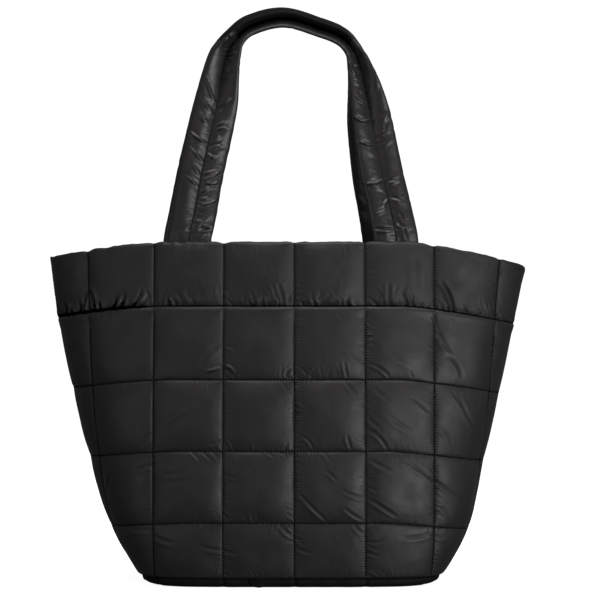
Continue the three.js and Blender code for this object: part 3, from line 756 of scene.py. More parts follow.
def body_rows(pitch):
    """Rows of the body panel: share of the height, swell, how far they are rolled in, square, seam."""
    shares, within, square = cells(ROW_SEAMS, pitch, BAG_HEIGHT)
    out = pad(within)
    top = len(ROW_SEAMS) - 2
    keep = square < top
    w = np.linspace(0, 0.93, OUTLINE_STEPS)
    wall = np.where(w < 0.5, pad(w), 1 - 0.22 * smooth_step((w - 0.5) / 0.5))
    wall = np.stack([CROWN * wall, (w - 1) * QUILT], 1)
    roll = arc(wall[-1, 0] - ROLL_RADIUS, -ROLL_DROP, ROLL_RADIUS, 0, 125)
    path = cloth_steps(np.concatenate([wall, roll, [[0.0, 0.0]]]), pitch)
    rows_out = np.concatenate([out[keep], path[:, 0] / CROWN])
    rows_up = np.concatenate([shares[keep], BAND_SHARE + path[:, 1] / BAG_HEIGHT])
    rolled = np.concatenate([0 * out[keep], smooth_step((path[:, 1] + 0.010) / 0.009)])
    flags = np.concatenate([within[keep] == 0, np.zeros(len(path), bool)])
    flags[keep.sum()] = flags[-1] = True
    below = np.concatenate([square[keep], np.full(len(path), top)])
    return rows_up, rows_out, rolled, below, flags


def band_rows(pitch):
    """Rows of the band, from its lower seam up and over the folded rim, as body_rows gives them."""
    w = np.linspace(0, 1 - RIM_FOLD / BAND_HEIGHT, OUTLINE_STEPS)
    lower = 0.72 * smooth_step(w / 0.13) ** 0.7 + 0.28 * smooth_step(w / BAND_FULLEST)
    upper = 1 - 0.45 * (np.maximum(0, w - BAND_FULLEST) / (1 - BAND_FULLEST)) ** 4
    out = CROWN * np.where(w < BAND_FULLEST, lower, upper)
    wall = np.stack([out, (w - 1) * BAND_HEIGHT], 1)
    middle, radius = (out[-1] - WALL) / 2, (out[-1] + WALL) / 2
    roll = arc(middle, -RIM_FOLD, radius, 0, 180, 20)[1:]
    roll[:, 1] = -RIM_FOLD + (roll[:, 1] + RIM_FOLD) * RIM_FOLD / radius
    path = cloth_steps(np.concatenate([wall, roll]), pitch)
    flags = np.zeros(len(path), bool)
    flags[0] = flags[-1] = True
    rolled = smooth_step((path[:, 1] + 0.008) / 0.006)
    return 1 + path[:, 1] / BAG_HEIGHT, path[:, 0] / CROWN, rolled, np.zeros(len(path), int), flags


# For each kind of panel: its rows, the least swell of its rolled edge, how far its stitches end below its
# top, and the wave, reach and height of the gathers along its lower seam.
PANEL_KINDS = {
    "body": {"rows": body_rows, "edge": 0.45, "stitches_end": 0.0178,
             "gathers": (0.0062, 0.0030, 0.00022)},
    "rim_band": {"rows": band_rows, "edge": 0.25, "stitches_end": 0.0038,
                 "gathers": (0.0072, 0.0048, 0.0012)},
}


def rim_sag(along, seams, seed):
    """How far the rim lies below its even line: rounded at the side seams, pulled in at the stitches."""
    from_end = np.minimum(along - along[0], along[-1] - along)
    at_seam = np.abs(along[:, None] - np.array(seams[1:-1])[None, :]).min(1)
    rng = np.random.default_rng(seed + 100)
    uneven = 0.0006 * soft_noise(rng, (len(along), 3), (9, 3))[:, 1]
    droop = np.where(along < 0, -0.0015, 0.004)
    return droop * np.exp(-from_end / 0.006) + 0.0010 * np.exp(-(at_seam / 0.004) ** 2) + np.abs(uneven)


def padded_panel(kind, side, seed):
    """A panel's padded shape before it settles, and how far its points lie from their stitch lines."""
    p = SimpleNamespace(kind=kind, side=side, is_band=kind == "rim_band", seams=column_seams(side))
    p.along, p.within, square = cells(p.seams, PITCH[side])
    p.up, out_share, p.rolled, p.row_square, p.row_flag = PANEL_KINDS[kind]["rows"](PITCH[side])
    p.base, p.outward = stitched(p.along, p.up, side)
    p.sag = rim_sag(p.along, p.seams, seed)
    p.base[:, :, 2] -= p.sag[:, None] * near_rim(p.up)[None, :]
    size = np.diff(p.seams)[square]
    part_column = np.minimum(1, size / QUILT) ** 2
    row_size = np.diff(ROW_SEAMS + [1.0]) * BAG_HEIGHT
    part_row = np.ones(len(p.up)) if p.is_band else np.minimum(1, row_size[p.row_square] / QUILT) ** 2
    across = pad(p.within)[:, None]
    full = part_column[:, None] * part_row[None, :] * across
    least = PANEL_KINDS[kind]["edge"]
    edge = least + (1 - least) * np.broadcast_to(part_column[:, None] * across, full.shape)
    full = full * (1 - p.rolled) + np.where(out_share[None, :] < 0, 1, edge) * p.rolled
    flat = 1 - (1 - SIDE_FULLNESS) * np.abs(p.outward[:, :, 0])
    out = CROWN * full * flat * out_share[None, :]
    p.rest = p.base + p.outward * out[:, :, None]
    keep_to_side(p.rest, side)
    p.column_flag = (p.within == 0) | (p.within == 1)
    p.free = np.ones(out.shape)
    p.free[p.column_flag, :] = 0
    p.free[:, p.row_flag] = 0
    p.left, p.right = (p.within * size)[:, None], ((1 - p.within) * size)[:, None]
    flags, rows = np.flatnonzero(p.row_flag), np.arange(len(p.up))
    lower = flags[np.searchsorted(flags, rows, side="right") - 1]
    upper = flags[np.minimum(np.searchsorted(flags, rows, side="left"), len(flags) - 1)]
    steps = np.linalg.norm(np.diff(p.base[len(p.along) // 2], axis=0), axis=1)
    run = np.concatenate([[0], np.cumsum(steps + np.abs(np.diff(out_share)) * CROWN * 0.5)])
    p.bottom, p.top = (run - run[lower])[None, :], (run[upper] - run)[None, :]
    p.nearest = np.minimum(np.minimum(p.left, p.right), np.minimum(p.bottom, p.top))
    p.from_end = np.minimum(p.along - p.along[0], p.along[-1] - p.along)[:, None]
    p.run_u = np.broadcast_to(p.along[:, None], out.shape)
    p.run_v = np.broadcast_to(run[None, :], out.shape)
    p.u, p.v = seen_from(p.rest, side)
    p.pulled = past(p.u, *PULLED)
    return p


def spare_cloth(rng, p):
    """Shares of spare length along and up the panel, which is gathered at its stitch lines."""
    patch = 0.5 + 0.5 * smooth_step(0.5 + 0.5 * soft_noise(rng, p.free.shape, (34, 34)))
    spare_v = (0.010 + 0.040 * np.exp(-p.left / 0.006) + 0.015 * np.exp(-p.right / 0.005)) * patch
    if p.is_band:
        gather = 0.045 * np.exp(-p.bottom / 0.006) + 0.02 * np.exp(-p.top / 0.008)
        gather = gather * (0.7 + 1.4 * past(-p.along[:, None], 0.12, 0.08)) * smooth_step(p.from_end / 0.02)
    else:
        gather = 0.018 * np.exp(-p.bottom / 0.008) + 0.016 * np.exp(-p.top / 0.006)
        gather = gather * (1 - p.rolled[None, :])
    return (0.010 + gather) * patch, spare_v


def panel_folds(rng, p):
    """How far the listed folds, the ripples at the stitches and soft unevenness lift the cloth."""
    shape = p.free.shape
    rise = sum(crease(p.u, p.v, row) for row in CREASES)
    for away, height, slant in ((p.left, 0.00032, 0.4), (p.right, 0.00020, -0.4)):
        away = np.broadcast_to(away, shape)
        some = 1.5 * smooth_step(0.25 + 0.6 * soft_noise(rng, shape, (20, 12))) * (0.3 + 0.8 * p.pulled)
        rise = rise + some * puckers(rng, p.run_v, away, 0.0058, 0.0022, height, slant)
    near_side = past(np.abs(p.run_u), 0.12, 0.08)
    for away, ripple in ((p.bottom, PANEL_KINDS[p.kind]["gathers"]), (p.top, (0.0062, 0.0025, 0.00022))):
        some = soft_noise(rng, shape, (16, 24))
        if p.is_band:
            some = (0.1 + 1.3 * smooth_step(0.4 + 0.6 * some)) * (0.7 + 0.5 * near_side)
            some = some * (1 - 0.6 * past(p.u, *CALM))
        else:
            some = 1.3 * smooth_step(0.15 + 0.6 * some)
        rise = rise + some * puckers(rng, p.run_u, np.broadcast_to(away, shape), *ripple, 0.25)
    clouds = soft_noise(rng, shape, (20, 20)) + 0.3 * soft_noise(rng, shape, (9, 9))
    rise = rise + 0.00021 * clouds * smooth_step(p.nearest / 0.016)
    return rise * (1 - 0.95 * p.rolled[None, :]) * smooth_step(p.from_end / 0.014)


def panel_lining(p):
    """The smooth inner wall, whose cells are LINING_STEP times as wide as the cloth's."""
    every = slice(None, None, LINING_STEP)
    wall, outward = p.base[every, every], p.outward[every, every]
    if p.is_band:
        inside_up = np.linspace(p.up[0], 1 - RIM_FOLD / BAG_HEIGHT - 0.002, wall.shape[1])
        wall, outward = stitched(p.along[every], inside_up, p.side)
        wall[:, :, 2] -= p.sag[every, None] * near_rim(inside_up)[None, :]
    lining = wall - outward * WALL
    keep_to_side(lining, p.side)
    return lining


def mark_panel(piece, rng, p, rise):
    """Gives the cloth its stitch ticks and painted shade, and a near-black painted-shade material where the
    band closes over the body.
    """
    patchy = 0.1 + 1.2 * smooth_step(0.45 + 0.6 * soft_noise(rng, p.free.shape, (12, 12)))
    patchy = patchy * (0.25 + 0.9 * p.pulled)
    straight = 1 - p.rolled[None, :]
    beside = (np.exp(-p.left / 0.0022) + 0.30 * np.exp(-p.right / 0.0016)) * patchy * straight
    across_row = (0.5 * np.exp(-p.bottom / 0.0022) + 0.5 * np.exp(-p.top / 0.0022)) * patchy * straight
    nearest = np.minimum(np.minimum(p.left, p.right), np.minimum(p.bottom, p.top) + 0.01 * p.rolled[None, :])
    # Painted shade: darker along the stitch grooves and in the valleys of the folds.
    shade = 0.55 * np.exp(-(nearest / 0.0012) ** 2) + 0.45 * smooth_step(-rise / 0.0010)
    if p.is_band:
        # Painted shade: a little to the right, and more at the band's bottom where it tucks under the body,
        # most to the left.
        shade = shade + 0.12 * past(p.u, *BAND_SHADE)
        shade = shade + np.exp(-p.bottom / 0.0045) * (0.35 + 0.65 * before(p.u, *GATHERED))
        # A near-black painted-shade material on faces under the body's edge and in the deepest pockets of the
        # gathers.
        under = p.bottom < 0.0034 + 0.0030 * before(p.u, *CLOSED)
        pocket = (rise < -0.0006) & (p.bottom < 0.004 + 0.010 * before(p.u, *POCKETS))
        deep = (under | pocket)[:-1, :-1] & (p.bottom < p.top)[:, :-1]
        piece.data.materials.append(fold_painted_shade)
        kinds = np.zeros(len(piece.data.polygons), int)
        kinds[:deep.size] = deep.ravel()
        piece.data.polygons.foreach_set("material_index", kinds)
    else:
        # Painted shade on the right column between two heights, and just above the base seam.
        shade = shade + 0.12 * past(p.u, *COLUMN_SHADE) * past(p.v, *SHADE_TOP) * before(p.v, *SHADE_END)
        shade = shade + 0.8 * np.exp(-p.bottom / 0.0020) * (p.row_square == 0)[None, :]
    mark(piece, "stitch_run", p.run_u, p.run_v, 0 * p.run_u)
    mark(piece, "pinch_and_painted_shade", across_row, beside, np.clip(shade, 0, 1))


def panel(kind, word, side, seed):
    """One quilted panel: its padded shape, its settled cloth and the smooth lining behind it."""
    p = padded_panel(kind, side, seed)
    rng = np.random.default_rng(seed)
    spare_u, spare_v = spare_cloth(rng, p)
    flip = 1 if side == FRONT else -1
    facing = np.moveaxis(grid_normals(np.moveaxis(p.rest, 2, 0)) * flip, 0, 2)
    rise = panel_folds(rng, p)
    still = np.minimum(1, p.nearest / 0.0016)
    rest = p.rest + facing * (rise * still * p.free)[:, :, None]
    p.cloth = settle(rest, p.free, spare_u, spare_v, seed, flip)
    keep_to_side(p.cloth, side)
    points = np.concatenate([p.cloth.reshape(-1, 3), panel_lining(p).reshape(-1, 3)])
    faces = shell_faces(*p.free.shape, LINING_STEP, side == BACK)
    piece = make_mesh(f"{kind}_{word}_quilt", points, faces, quilted)
    mark_panel(piece, rng, p, rise)
    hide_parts(f"{kind}_{word}")
    return p


panels = {}
for side, word, seed in ((FRONT, "front", 11), (BACK, "back", 23)):
    for kind, extra in (("body", 0), ("rim_band", 1)):
        panels[kind, word] = panel(kind, word, side, seed + extra)


# Bound seam allowances inside the side seams

def side_seam(hand, sign, radius=0.0013, sides=8):
    shares = np.linspace(0, 0.985, 70)
    centre = stitched(np.array([sign * RIM_QUARTER[hand]]), shares, FRONT)[0][0]
    centre[:, 0] -= sign * WALL / 2
    centre[:, 1] = 0
    sag = rim_sag(np.array([-1.0, 1.0]), column_seams(FRONT), 11)[0 if sign < 0 else 1]
    centre[:, 2] -= sag * near_rim(shares)
    turn = np.arange(sides) * 2 * math.pi / sides
    ring = np.stack([np.cos(turn), np.sin(turn), 0 * turn], 1) * radius
    points = (centre[:, None, :] + ring[None, :, :]).reshape(-1, 3)
    faces = ring_faces(len(shares), sides)
    faces.append(tuple(range(sides))[::-1])
    faces.append(tuple(range(len(points) - sides, len(points))))
    make_mesh("side_seam_" + hand, points, faces, quilted)


side_seam("left", -1)
side_seam("right", 1)


# Straps

STATIONS = 760              # read along the route before it is cut into even steps
SEAM_HEIGHT, SEAM_REACH = 0.0020, 0.0016        # half of a strap's thickness at its stitch line
ARCH_TILT, ARCH_SINK = math.radians(9), 0.009   # the folded arch leans over, and stays as high as before
# Where the folded arch shows in the picture, and gets painted shade: from and to, across, and the height that
# it stays above
ARCH_FROM, ARCH_TO, ARCH_ABOVE = (233, 5), (354, 6), 70
UPPER_FOLD, LOWER_FOLD = 0.0195, 0.0155         # how far out the painted shade inside the fold reaches


def strap_line(row):
    """Stations at even steps along one strap, each with its centre, facing, fold, turn and loft."""
    route = STRAP_ROUTE.copy()
    shift = row["ends"] + (row["arch"] - row["ends"]) * route[:, 2]
    route[:, 0] = route[:, 0] * STRAP_SPREAD / 2 + QUILT_SHIFT * shift
    route[:, 4] = route[:, 4] * np.sign(STRAP_ROUTE[:, 0])
    route[:, 1] *= np.where(route[:, 1] < 0, STRAP_SEWN, STRAP_RISE * row["rise"])
    keys = np.concatenate([[0], np.cumsum(np.hypot(np.diff(route[:, 0]), np.diff(route[:, 1])))])
    side = row["side"]
    stations = []
    for distance in np.linspace(0, keys[-1], STATIONS):
        across, up, lean, fold, turn, loft = smooth_through(keys, route, distance)
        lean = max(0, lean)
        share = min(1, 1 + up / BAG_HEIGHT)
        three = np.array([across, across - STRAP_WIDTH / 2, across + STRAP_WIDTH / 2])
        wall, out = stitched(three, [share], side)
        wall, out = wall[:, 0], out[:, 0]
        bow = max(0, *(((wall[0] - wall[k]) * out[0])[:2].sum() for k in (1, 2)))
        stand_off = WALL + STRAP_GAP + bow + loft * STRAP_THICKNESS / 2
        mix = min(1, lean / FACING_SHARE)
        facing = out[0] * (1 - mix) + np.array([0, side, 0]) * mix
        facing /= np.linalg.norm(facing)
        wall_y = wall[0, 1] - out[0, 1] * stand_off
        centre = [wall[0, 0] - out[0, 0] * stand_off, wall_y + (side * ARCH_OFFSET - wall_y) * lean,
                  BASE_SEAM + BAG_HEIGHT + up]
        fold = min(90, fold)
        fold *= row["fold"] + (1 - row["fold"]) * fold / 90
        stations.append([*centre, *facing, math.radians(fold), math.radians(-side * turn), loft])
    stations = np.array(stations)
    length = np.concatenate([[0], np.cumsum(np.linalg.norm(np.diff(stations[:, :3], axis=0), axis=1))])
    steps = LINING_STEP * round(length[-1] / row["pitch"] / LINING_STEP)
    at = np.linspace(0, length[-1], steps + 1)
    return np.stack([np.interp(at, length, column) for column in stations.T], 1), at


def lobe(line, hand, rows):
    """Padded shape of one half of a strap: a grid from the front stitch line round to the back one."""
    centre, facing, fold, turn, loft = line[:, :3], line[:, 3:6], line[:, 6], line[:, 7], line[:, 8]
    forward = unit(np.gradient(centre, axis=0))
    facing = unit(facing - forward * (facing * forward).sum(1, keepdims=True))
    c, s = np.cos(turn)[:, None], np.sin(turn)[:, None]
    x, y, z = facing[:, :1], facing[:, 1:2], facing[:, 2:]
    facing = np.concatenate([x * c - y * s, x * s + y * c, z], 1)
    facing = unit(facing - forward * (facing * forward).sum(1, keepdims=True))
    sideways = unit(np.cross(facing, forward))
    sin, cos = np.sin(fold)[:, None], np.cos(fold)[:, None]
    along = sideways * hand * sin + facing * cos
    face = -sideways * hand * cos + facing * sin
    # Where the strap is folded, its upper half hangs over the lower one.
    tilt = ARCH_TILT * np.clip((math.radians(60) - fold) / math.radians(40), 0, 1)[:, None]
    c, s = np.cos(tilt), np.sin(tilt)
    along, face = (v * c + np.cross(forward, v) * s for v in (along, face))
    centre = centre - np.array([0, 0, ARCH_SINK]) * s
    half, thick = STRAP_WIDTH / 2, loft * STRAP_THICKNESS / 2
    t = np.linspace(0, 2 * math.pi, 400)
    o = (1 - np.cos(t)) / 2
    dome = 0.58 + 0.42 * (1 - (1 - np.minimum(1, 1.8 * o)) ** 2)
    outer = np.sqrt(np.maximum(0, 1 - np.maximum(0, (o - 0.30) / 0.70) ** 2.1))
    h = (1 - np.exp(-o * half / 0.0009)) * dome * outer * np.where(t <= math.pi, 1, -1)
    outline = even_steps(np.stack([o * half, h * STRAP_THICKNESS / 2], 1), rows)
    o, h = outline[:, 0] / half, outline[:, 1] / (STRAP_THICKNESS / 2)
    at_seam = SEAM_HEIGHT * np.exp(-((o * half / SEAM_REACH) ** 2))
    lift = at_seam * np.where(np.arange(rows + 1) <= rows // 2, 1, -1)
    height = thick[:, None] * h[None, :] + lift[None, :]
    slope = np.tan(np.minimum(fold, math.radians(89)))[:, None]
    room = np.maximum(0, o[None, :] * half * slope - STRAP_FOLD_GAP / 2) + at_seam[None, :]
    height = np.minimum(height, room)
    points = (centre[:, None, :] + along[:, None, :] * (o * half)[None, :, None]
              + face[:, None, :] * height[:, :, None])
    ends = centre[:, None, :] + facing[:, None, :] * (np.array([SEAM_HEIGHT, -SEAM_HEIGHT])[None, :, None])
    points[:, 0], points[:, -1] = ends[:, 0], ends[:, 1]
    return points, o * half


def settled_lobe(line, at, row, hand, seed):
    """One half of a strap with its creases laid in and its cloth settled, and its distances from the seam."""
    rest, out = lobe(line, hand, row["rows"])
    free = np.ones(rest.shape[:2])
    free[:, 0] = free[:, -1] = 0
    free[0] = free[-1] = 0
    rng = np.random.default_rng(seed + hand)
    patch = 0.4 + 0.9 * smooth_step(0.5 + 0.5 * soft_noise(rng, free.shape, (18, 40)))
    spare_u = (0.008 + 0.020 * np.exp(-out / 0.009)[None, :]) * patch
    spare_v = 0.012 * patch
    facing = np.moveaxis(grid_normals(np.moveaxis(rest, 2, 0)) * hand, 0, 2)
    run = np.broadcast_to(at[:, None], free.shape)
    away = np.broadcast_to(out[None, :], free.shape)
    lean = np.tanh((run - at[-1] / 2) / 0.06)
    for wave, reach, height, slant in ((0.0150, 0.0080, 0.00026, 0.8), (0.0070, 0.0030, 0.00012, 0.5)):
        some = 1.4 * smooth_step(0.35 + 0.7 * soft_noise(rng, free.shape, (14, 30)))
        rise = puckers(rng, run, away, wave, reach, height, slant * lean, 0.12)
        rest = rest + facing * (some * free * rise)[:, :, None]
    u, v = seen_from(rest, row["side"])
    rise = sum(crease(u, v, fold) for fold in STRAP_CREASES)
    towards = past(facing[:, :, 1] * row["side"], 0.35, 0.4)
    rest = rest + facing * (2.0 * rise * free * towards * np.minimum(1, away / 0.0015))[:, :, None]
    cloth = settle(rest, free, spare_u, spare_v, seed + 5 * hand, hand, rough=0.0005, hold=0.012, cap=0.003)
    return cloth, out


def strap_shade(line, row, out):
    """Painted shade and material of the cloth: painted shade and a matt, darker copy of the cloth inside the
    folded arch, a near-black painted-shade material deep in the fold, and painted shade along the stitches.
    """
    across, high = seen_from(line[:, :3], row["side"])
    folded = (past(across, *ARCH_FROM) * before(across, *ARCH_TO) * (high < ARCH_ABOVE))[:, None]
    # Painted shade along the stitch line.
    seam = np.exp(-(out / 0.0010) ** 2)[None, :]
    faces_out = np.arange(len(out)) <= row["rows"] // 2
    shades, kinds = [], []
    for hand in (1, -1):
        upper = hand == -row["side"]
        inside = np.where(faces_out, before(out, UPPER_FOLD if upper else LOWER_FOLD, 0.005), 0)[None, :]
        # Painted shade: strong on the upper half of the folded arch, and on the lower half mostly inside the
        # fold.
        dark = 0.85 + 0.15 * inside if upper else 0.12 + 0.88 * inside
        shades.append(np.maximum(folded * dark, seam).ravel())
        # Material 2, near-black painted shade, deep inside the fold; material 1, the darker painted-shade
        # copy, on the upper half of the arch.
        deep = (folded[:-1] > 0.5) & (inside[:, :-1] > 0.5)
        kinds.append(np.where(deep, 2, (folded[:-1] > 0.5) & upper).ravel())
    return np.concatenate(shades), np.concatenate(kinds)


def strap(name, row, seed):
    """One strap: two padded lobes joined along the middle stitch line."""
    line, at = strap_line(row)
    lobes = [settled_lobe(line, at, row, hand, seed) for hand in (1, -1)]
    parts, out = [cloth for cloth, _ in lobes], lobes[0][1]
    n, m = len(line), len(out)
    points = np.concatenate([part.reshape(-1, 3) for part in parts])
    faces = grid_quads(n, m).tolist() + grid_quads(n, m, n * m)[:, ::-1].tolist()
    for end, at_far_end in ((0, False), ((n - 1) * m, True)):
        for start, second in ((0, False), (n * m, True)):
            ring = [start + end + k for k in range(m)]
            faces.append(ring if at_far_end == second else ring[::-1])
    piece = make_mesh(name + "_pad", points, [tuple(f) for f in faces], strap_cloth)
    shade, kinds = strap_shade(line, row, out)
    mark(piece, "pinch_and_painted_shade", 0 * shade, 0 * shade, shade)
    for material in (strap_arch_painted_shade, fold_painted_shade):
        piece.data.materials.append(material)
    kinds = np.concatenate([kinds, np.zeros(len(faces) - kinds.size, int)])
    piece.data.polygons.foreach_set("material_index", kinds)
    weld(piece, 1e-6)
    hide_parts(name)
    return {"line": line, "cloth": parts[0]}


straps = {name: strap(name, row, seed) for (name, row), seed in zip(STRAPS.items(), (41, 53))}


# Base

# The base's edge, from its top round to its underside: how far outwards and how high
BASE_EDGE = [
    (-0.0100, 0.0096), (-0.0040, 0.0096), (-0.0014, 0.0095), (-0.0009, 0.0088), (-0.0005, 0.0078),
    (-0.0002, 0.0064), (-0.0003, 0.0050), (-0.0007, 0.0037), (-0.0016, 0.0024), (-0.0033, 0.0013),
    (-0.0065, 0.0005),
]
BASE_PITCH = 0.0014
BASE_SHOULDER = 0.0095      # below this the edge is lifted towards the bag's ends
UNDERSIDE_ROWS, UNDERSIDE_DEPTH, UNDERSIDE_GROOVE, GROOVE_WIDTH = 60, 0.19, 0.0016, 0.002
TOP_ROWS = 12


def base_panel():
    """The padded base: its edge, its underside stitched in squares, and its plain top."""
    along, within, _ = cells(column_seams(FRONT), BASE_PITCH)
    (front, out_front), (back, out_back) = (
        [field[:, 0] for field in stitched(along, [0.0], side)] for side in (FRONT, BACK))
    from_seam = np.minimum(within, 1 - within) * QUILT
    uneven = soft_noise(np.random.default_rng(71), (len(along), 3), (9, 3))[:, 1:2]
    notch = 0.0013 * np.exp(-(from_seam[:, None] / 0.0016) ** 2)
    tuck = 0.003 * np.abs(out_front[:, :1]) ** 2 + notch + 0.0004 * uneven

    def edge_row(wall, outward, out, up):
        return wall + outward * out * [1, 1, 0] + [0, 0, up - BASE_SEAM]

    rows = [edge_row(front, out_front, out - tuck, up) for out, up in BASE_EDGE]
    first, last = rows[-1], edge_row(back, out_back, *BASE_EDGE[-1])
    for w in np.linspace(0, 1, UNDERSIDE_ROWS)[1:-1]:
        line = first + (last - first) * w
        across = np.exp(-((w - 0.5) * UNDERSIDE_DEPTH / GROOVE_WIDTH) ** 2)
        line[:, 2] = UNDERSIDE_GROOVE * np.maximum(across, np.exp(-(from_seam / GROOVE_WIDTH) ** 2))
        rows.append(line)
    rows += [edge_row(back, out_back, out - tuck, up) for out, up in BASE_EDGE[::-1]]
    grid = np.stack(rows, 1)
    lift = 0.0025 * np.abs(out_front[:, 0]) ** 3
    low = np.abs(grid[:, :, 2]) < BASE_SHOULDER
    grid[:, :, 2] += lift[:, None] * low * (1 - grid[:, :, 2] / BASE_THICKNESS)
    grid[0, :, 1] = grid[-1, :, 1] = 0
    top = [grid[:, 0] + (grid[:, -1] - grid[:, 0]) * w for w in np.linspace(0, 1, TOP_ROWS)[1:-1]]
    grid = np.concatenate([grid, np.stack(top[::-1], 1)], 1)
    faces = ring_faces(*grid.shape[:2])
    piece = make_mesh("base_quilt", grid.reshape(-1, 3), faces, base_cloth_painted_shade)
    weld(piece, 1e-6)
    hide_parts("base_panel")


base_panel()


# Tab in the base seam

def base_tab(columns=24, rows=12):
    """A soft half round of folded cloth, whose top leans back to the seam that holds it."""
    wall = stitched(np.array([TAB_CENTRE]), [0.0], FRONT)[0][0, 0]
    middle = wall[1] - BASE_BULGE - SEAM_GAP - TAB_THICKNESS / 2
    deep = BASE_THICKNESS - TAB_CLEARANCE
    turn, r = np.meshgrid(np.linspace(0, math.pi, columns + 1), np.linspace(0, 1, rows + 1), indexing="ij")
    x, z = -np.cos(turn) * TAB_WIDTH / 2 * r, -np.sin(turn) * deep * r
    soft = 0.0011 * np.sqrt(np.maximum(0, 1 - r**4))
    fold = 0.0006 * np.exp(-((x + 0.5 * z + 0.002) / 0.0016) ** 2) * (1 - r)
    back = 0.0035 + 0.0025 * (1 + z / deep)
    layers = [np.stack([TAB_CENTRE + x, middle + y + back, BASE_THICKNESS + z], -1)
              for y in (-soft - fold, soft)]
    faces = grid_quads(*r.shape).tolist() + grid_quads(*r.shape, r.size)[:, ::-1].tolist()
    piece = make_mesh("base_tab_fold", np.stack(layers).reshape(-1, 3), faces, tab_cloth)
    weld(piece, 1e-5)
    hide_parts("base_tab")


base_tab()


# Stitches

def capsules(name, points, directions, normals, slot, sides=6):
    """Short rounded threads, one at each point."""
    profile = [(-0.5, 0.55), (0.0, 1.0), (0.5, 0.55)]
    verts, faces = [], []
    for p, d, up in zip(points, unit(directions), normals):
        u = unit(np.cross(d, up))
        v = np.cross(u, d)
        start = len(verts)
        for at, wide in profile:
            for a in np.arange(sides) * 2 * math.pi / sides:
                verts.append(p + d * STITCH * at + (u * math.cos(a) + v * math.sin(a)) * THREAD * wide)
        faces += ring_faces(len(profile), sides, start)
        faces.append(tuple(range(start, start + sides))[::-1])
        faces.append(tuple(range(len(verts) - sides, len(verts))))
    make_mesh(name, verts, faces, thread)


def needle_holes(name, points, directions, normals, slot, sides=6):
    """Small dents where the thread goes through, between the stitches, in a near-black material that is
    painted shade in the holes.
    """
    verts, faces = [], []
    for p, d, up in zip(points, unit(directions), normals):
        u = np.cross(d, up)
        start = len(verts)
        middle = p + d * (STITCH + STITCH_GAP) / 2
        verts.append(middle + up * 0.0005)
        verts += [middle + (d * math.cos(a) * 0.75 + u * math.sin(a)) * HOLE + up * 0.0002
                  for a in np.arange(sides) * math.pi / 3]
        verts.append(middle - up * 0.0003)
        for k in range(sides):
            a, b = start + 1 + k, start + 1 + (k + 1) % sides
            faces += [(start, a, b), (start + sides + 1, b, a)]
    make_mesh(name, verts, faces, painted_hole_shade)


def stitches_along(points, normals, lift, skip=0.002):
    """Even stitches along a polyline, laid just above it: their places, directions and normals."""
    steps = np.linalg.norm(np.diff(points, axis=0), axis=1)
    length = np.concatenate([[0], np.cumsum(steps)])
    at = np.arange(skip, length[-1] - skip, STITCH + STITCH_GAP)
    p = np.stack([np.interp(at, length, points[:, k]) for k in range(3)], 1)
    q = np.stack([np.interp(at + 0.001, length, points[:, k]) for k in range(3)], 1)
    n = unit(np.stack([np.interp(at, length, normals[:, k]) for k in range(3)], 1))
    return p + n * lift, q - p, n


def sew(word, lines, slot):
    """All the stitches and needle holes of one side or strap."""
    places = [np.concatenate([line[k] for line in lines]) for k in range(3)]
    capsules("stitches_" + word, *places, slot)
    needle_holes("needle_holes_" + word, *places, slot)


for word in ("front", "back"):
    lines = []
    for kind in PANEL_KINDS:
        p = panels[kind, word]
        last = p.cloth.shape[1] - round(PANEL_KINDS[kind]["stitches_end"] / PITCH[p.side])
        for i in np.flatnonzero(p.column_flag)[1:-1]:
            lines.append(stitches_along(p.cloth[i, :last], p.outward[i, :last], 0.0005))
        if kind == "body":
            for j in np.flatnonzero(p.row_flag)[1:-1]:
                lines.append(stitches_along(p.cloth[:, j], p.outward[:, j], 0.0004))
    sew(word, lines, "quilted_nylon")

for name, made in straps.items():
    centre = made["line"][:, :3]
    seams = [made["cloth"][:, k] for k in (0, -1)]
    sew(name, [stitches_along(seam, unit(seam - centre), 0.0006) for seam in seams], "strap_nylon")


# Camera, light and floor

FLAT_FLOOR, BEND, WALL_TOP = 4.5, 1.5, 6.0      # of the backdrop, in metres
FLOOR_GAP = 0.0003
FLOOR_GLOW = 0.93


def backdrop(turns=64):
    """A round pale floor that curves up into a wall all round."""
    bend = [(FLAT_FLOOR + BEND * math.sin(t), BEND - BEND * math.cos(t))
            for t in np.linspace(0.1, math.pi / 2, 12)]
    profile = [(0.01, 0.0), (1.0, 0.0), (FLAT_FLOOR, 0.0), *bend, (FLAT_FLOOR + BEND, WALL_TOP)]
    verts = [(r * math.cos(a), r * math.sin(a), z - FLOOR_GAP) for r, z in profile
             for a in np.arange(turns) * 2 * math.pi / turns]
    faces = ring_faces(len(profile), turns) + [tuple(range(turns))]
    paper = bpy.data.materials.new("floor_paper")
    paper.use_nodes = True
    for socket, value in (("Base Color", (0.9, 0.9, 0.9, 1)), ("Roughness", 0.9),
                          ("Emission Color", (1, 1, 1, 1)), ("Emission Strength", FLOOR_GLOW)):
        paper.node_tree.nodes["Principled BSDF"].inputs[socket].default_value = value
    mesh = bpy.data.meshes.new("floor")
    mesh.from_pydata(verts, [], faces)
    mesh.polygons.foreach_set("use_smooth", [True] * len(faces))
    mesh.materials.append(paper)
    floor = bpy.data.objects.new("floor", mesh)
    bpy.context.scene.collection.objects.link(floor)
    floor.visible_diffuse = floor.visible_glossy = floor.visible_shadow = False   # it doesn't light the bag


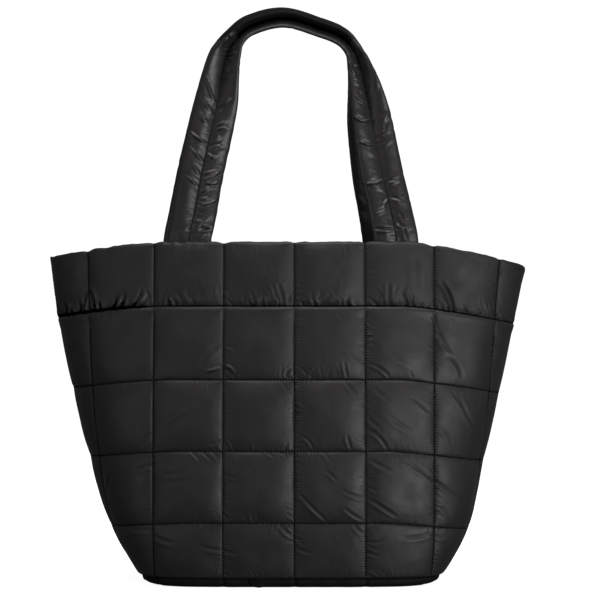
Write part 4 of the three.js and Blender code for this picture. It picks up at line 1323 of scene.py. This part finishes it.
def area_light(name, place, target, size, power, color=(1, 1, 1)):
    light = bpy.data.lights.new(name, "AREA")
    light.shape, light.size, light.size_y = "RECTANGLE", *size
    light.energy, light.color = power, color
    lamp = bpy.data.objects.new(name, light)
    lamp.location = place
    lamp.rotation_euler = (Vector(target) - Vector(place)).to_track_quat("-Z", "Y").to_euler()
    bpy.context.scene.collection.objects.link(lamp)


backdrop()
area_light("key", (1.7, -2.1, 0.35), (0, 0, 0.25), (1.5, 1.3), 34, (1.0, 0.975, 0.995))
area_light("top", (0.2, -0.45, 1.9), (0, 0, 0.2), (1.8, 0.8), 22, (1.0, 0.95, 0.97))
area_light("edge", (0.1, 1.1, 2.2), (0, 0, 0.3), (1.6, 0.5), 4, (1.0, 0.96, 0.98))
area_light("fill", (-1.9, -2.1, 0.3), (0, 0, 0.25), (1.6, 1.4), 6, (1.0, 0.93, 0.96))
area_light("low", (1.4, -1.4, -0.5), (0.1, 0, 0.15), (1.3, 1.3), 5, (1.0, 0.98, 1.0))

scene = bpy.context.scene
world = bpy.data.worlds.new("studio")
scene.world = world
world.use_nodes = True
sky = world.node_tree.nodes["Background"]
sky.inputs["Strength"].default_value = 0.115
where = world.node_tree.nodes.new("ShaderNodeTexCoord")
split = world.node_tree.nodes.new("ShaderNodeSeparateXYZ")
dim = world.node_tree.nodes.new("ShaderNodeMapRange")
for socket, value in (("From Min", -0.6), ("From Max", 0.5), ("To Min", 0.45), ("To Max", 1.0)):
    dim.inputs[socket].default_value = value
world.node_tree.links.new(where.outputs["Generated"], split.inputs[0])
world.node_tree.links.new(split.outputs["Z"], dim.inputs["Value"])
world.node_tree.links.new(dim.outputs["Result"], sky.inputs["Color"])
scene.view_settings.view_transform = "Standard"
scene.view_settings.look = "None"

lens = bpy.data.cameras.new("camera")
lens.lens, lens.sensor_width, lens.sensor_fit = 150, 36, "HORIZONTAL"
camera = bpy.data.objects.new("camera", lens)
camera.location = CAMERA
camera.rotation_euler = (math.pi / 2, 0, 0)
scene.collection.objects.link(camera)
scene.camera = camera
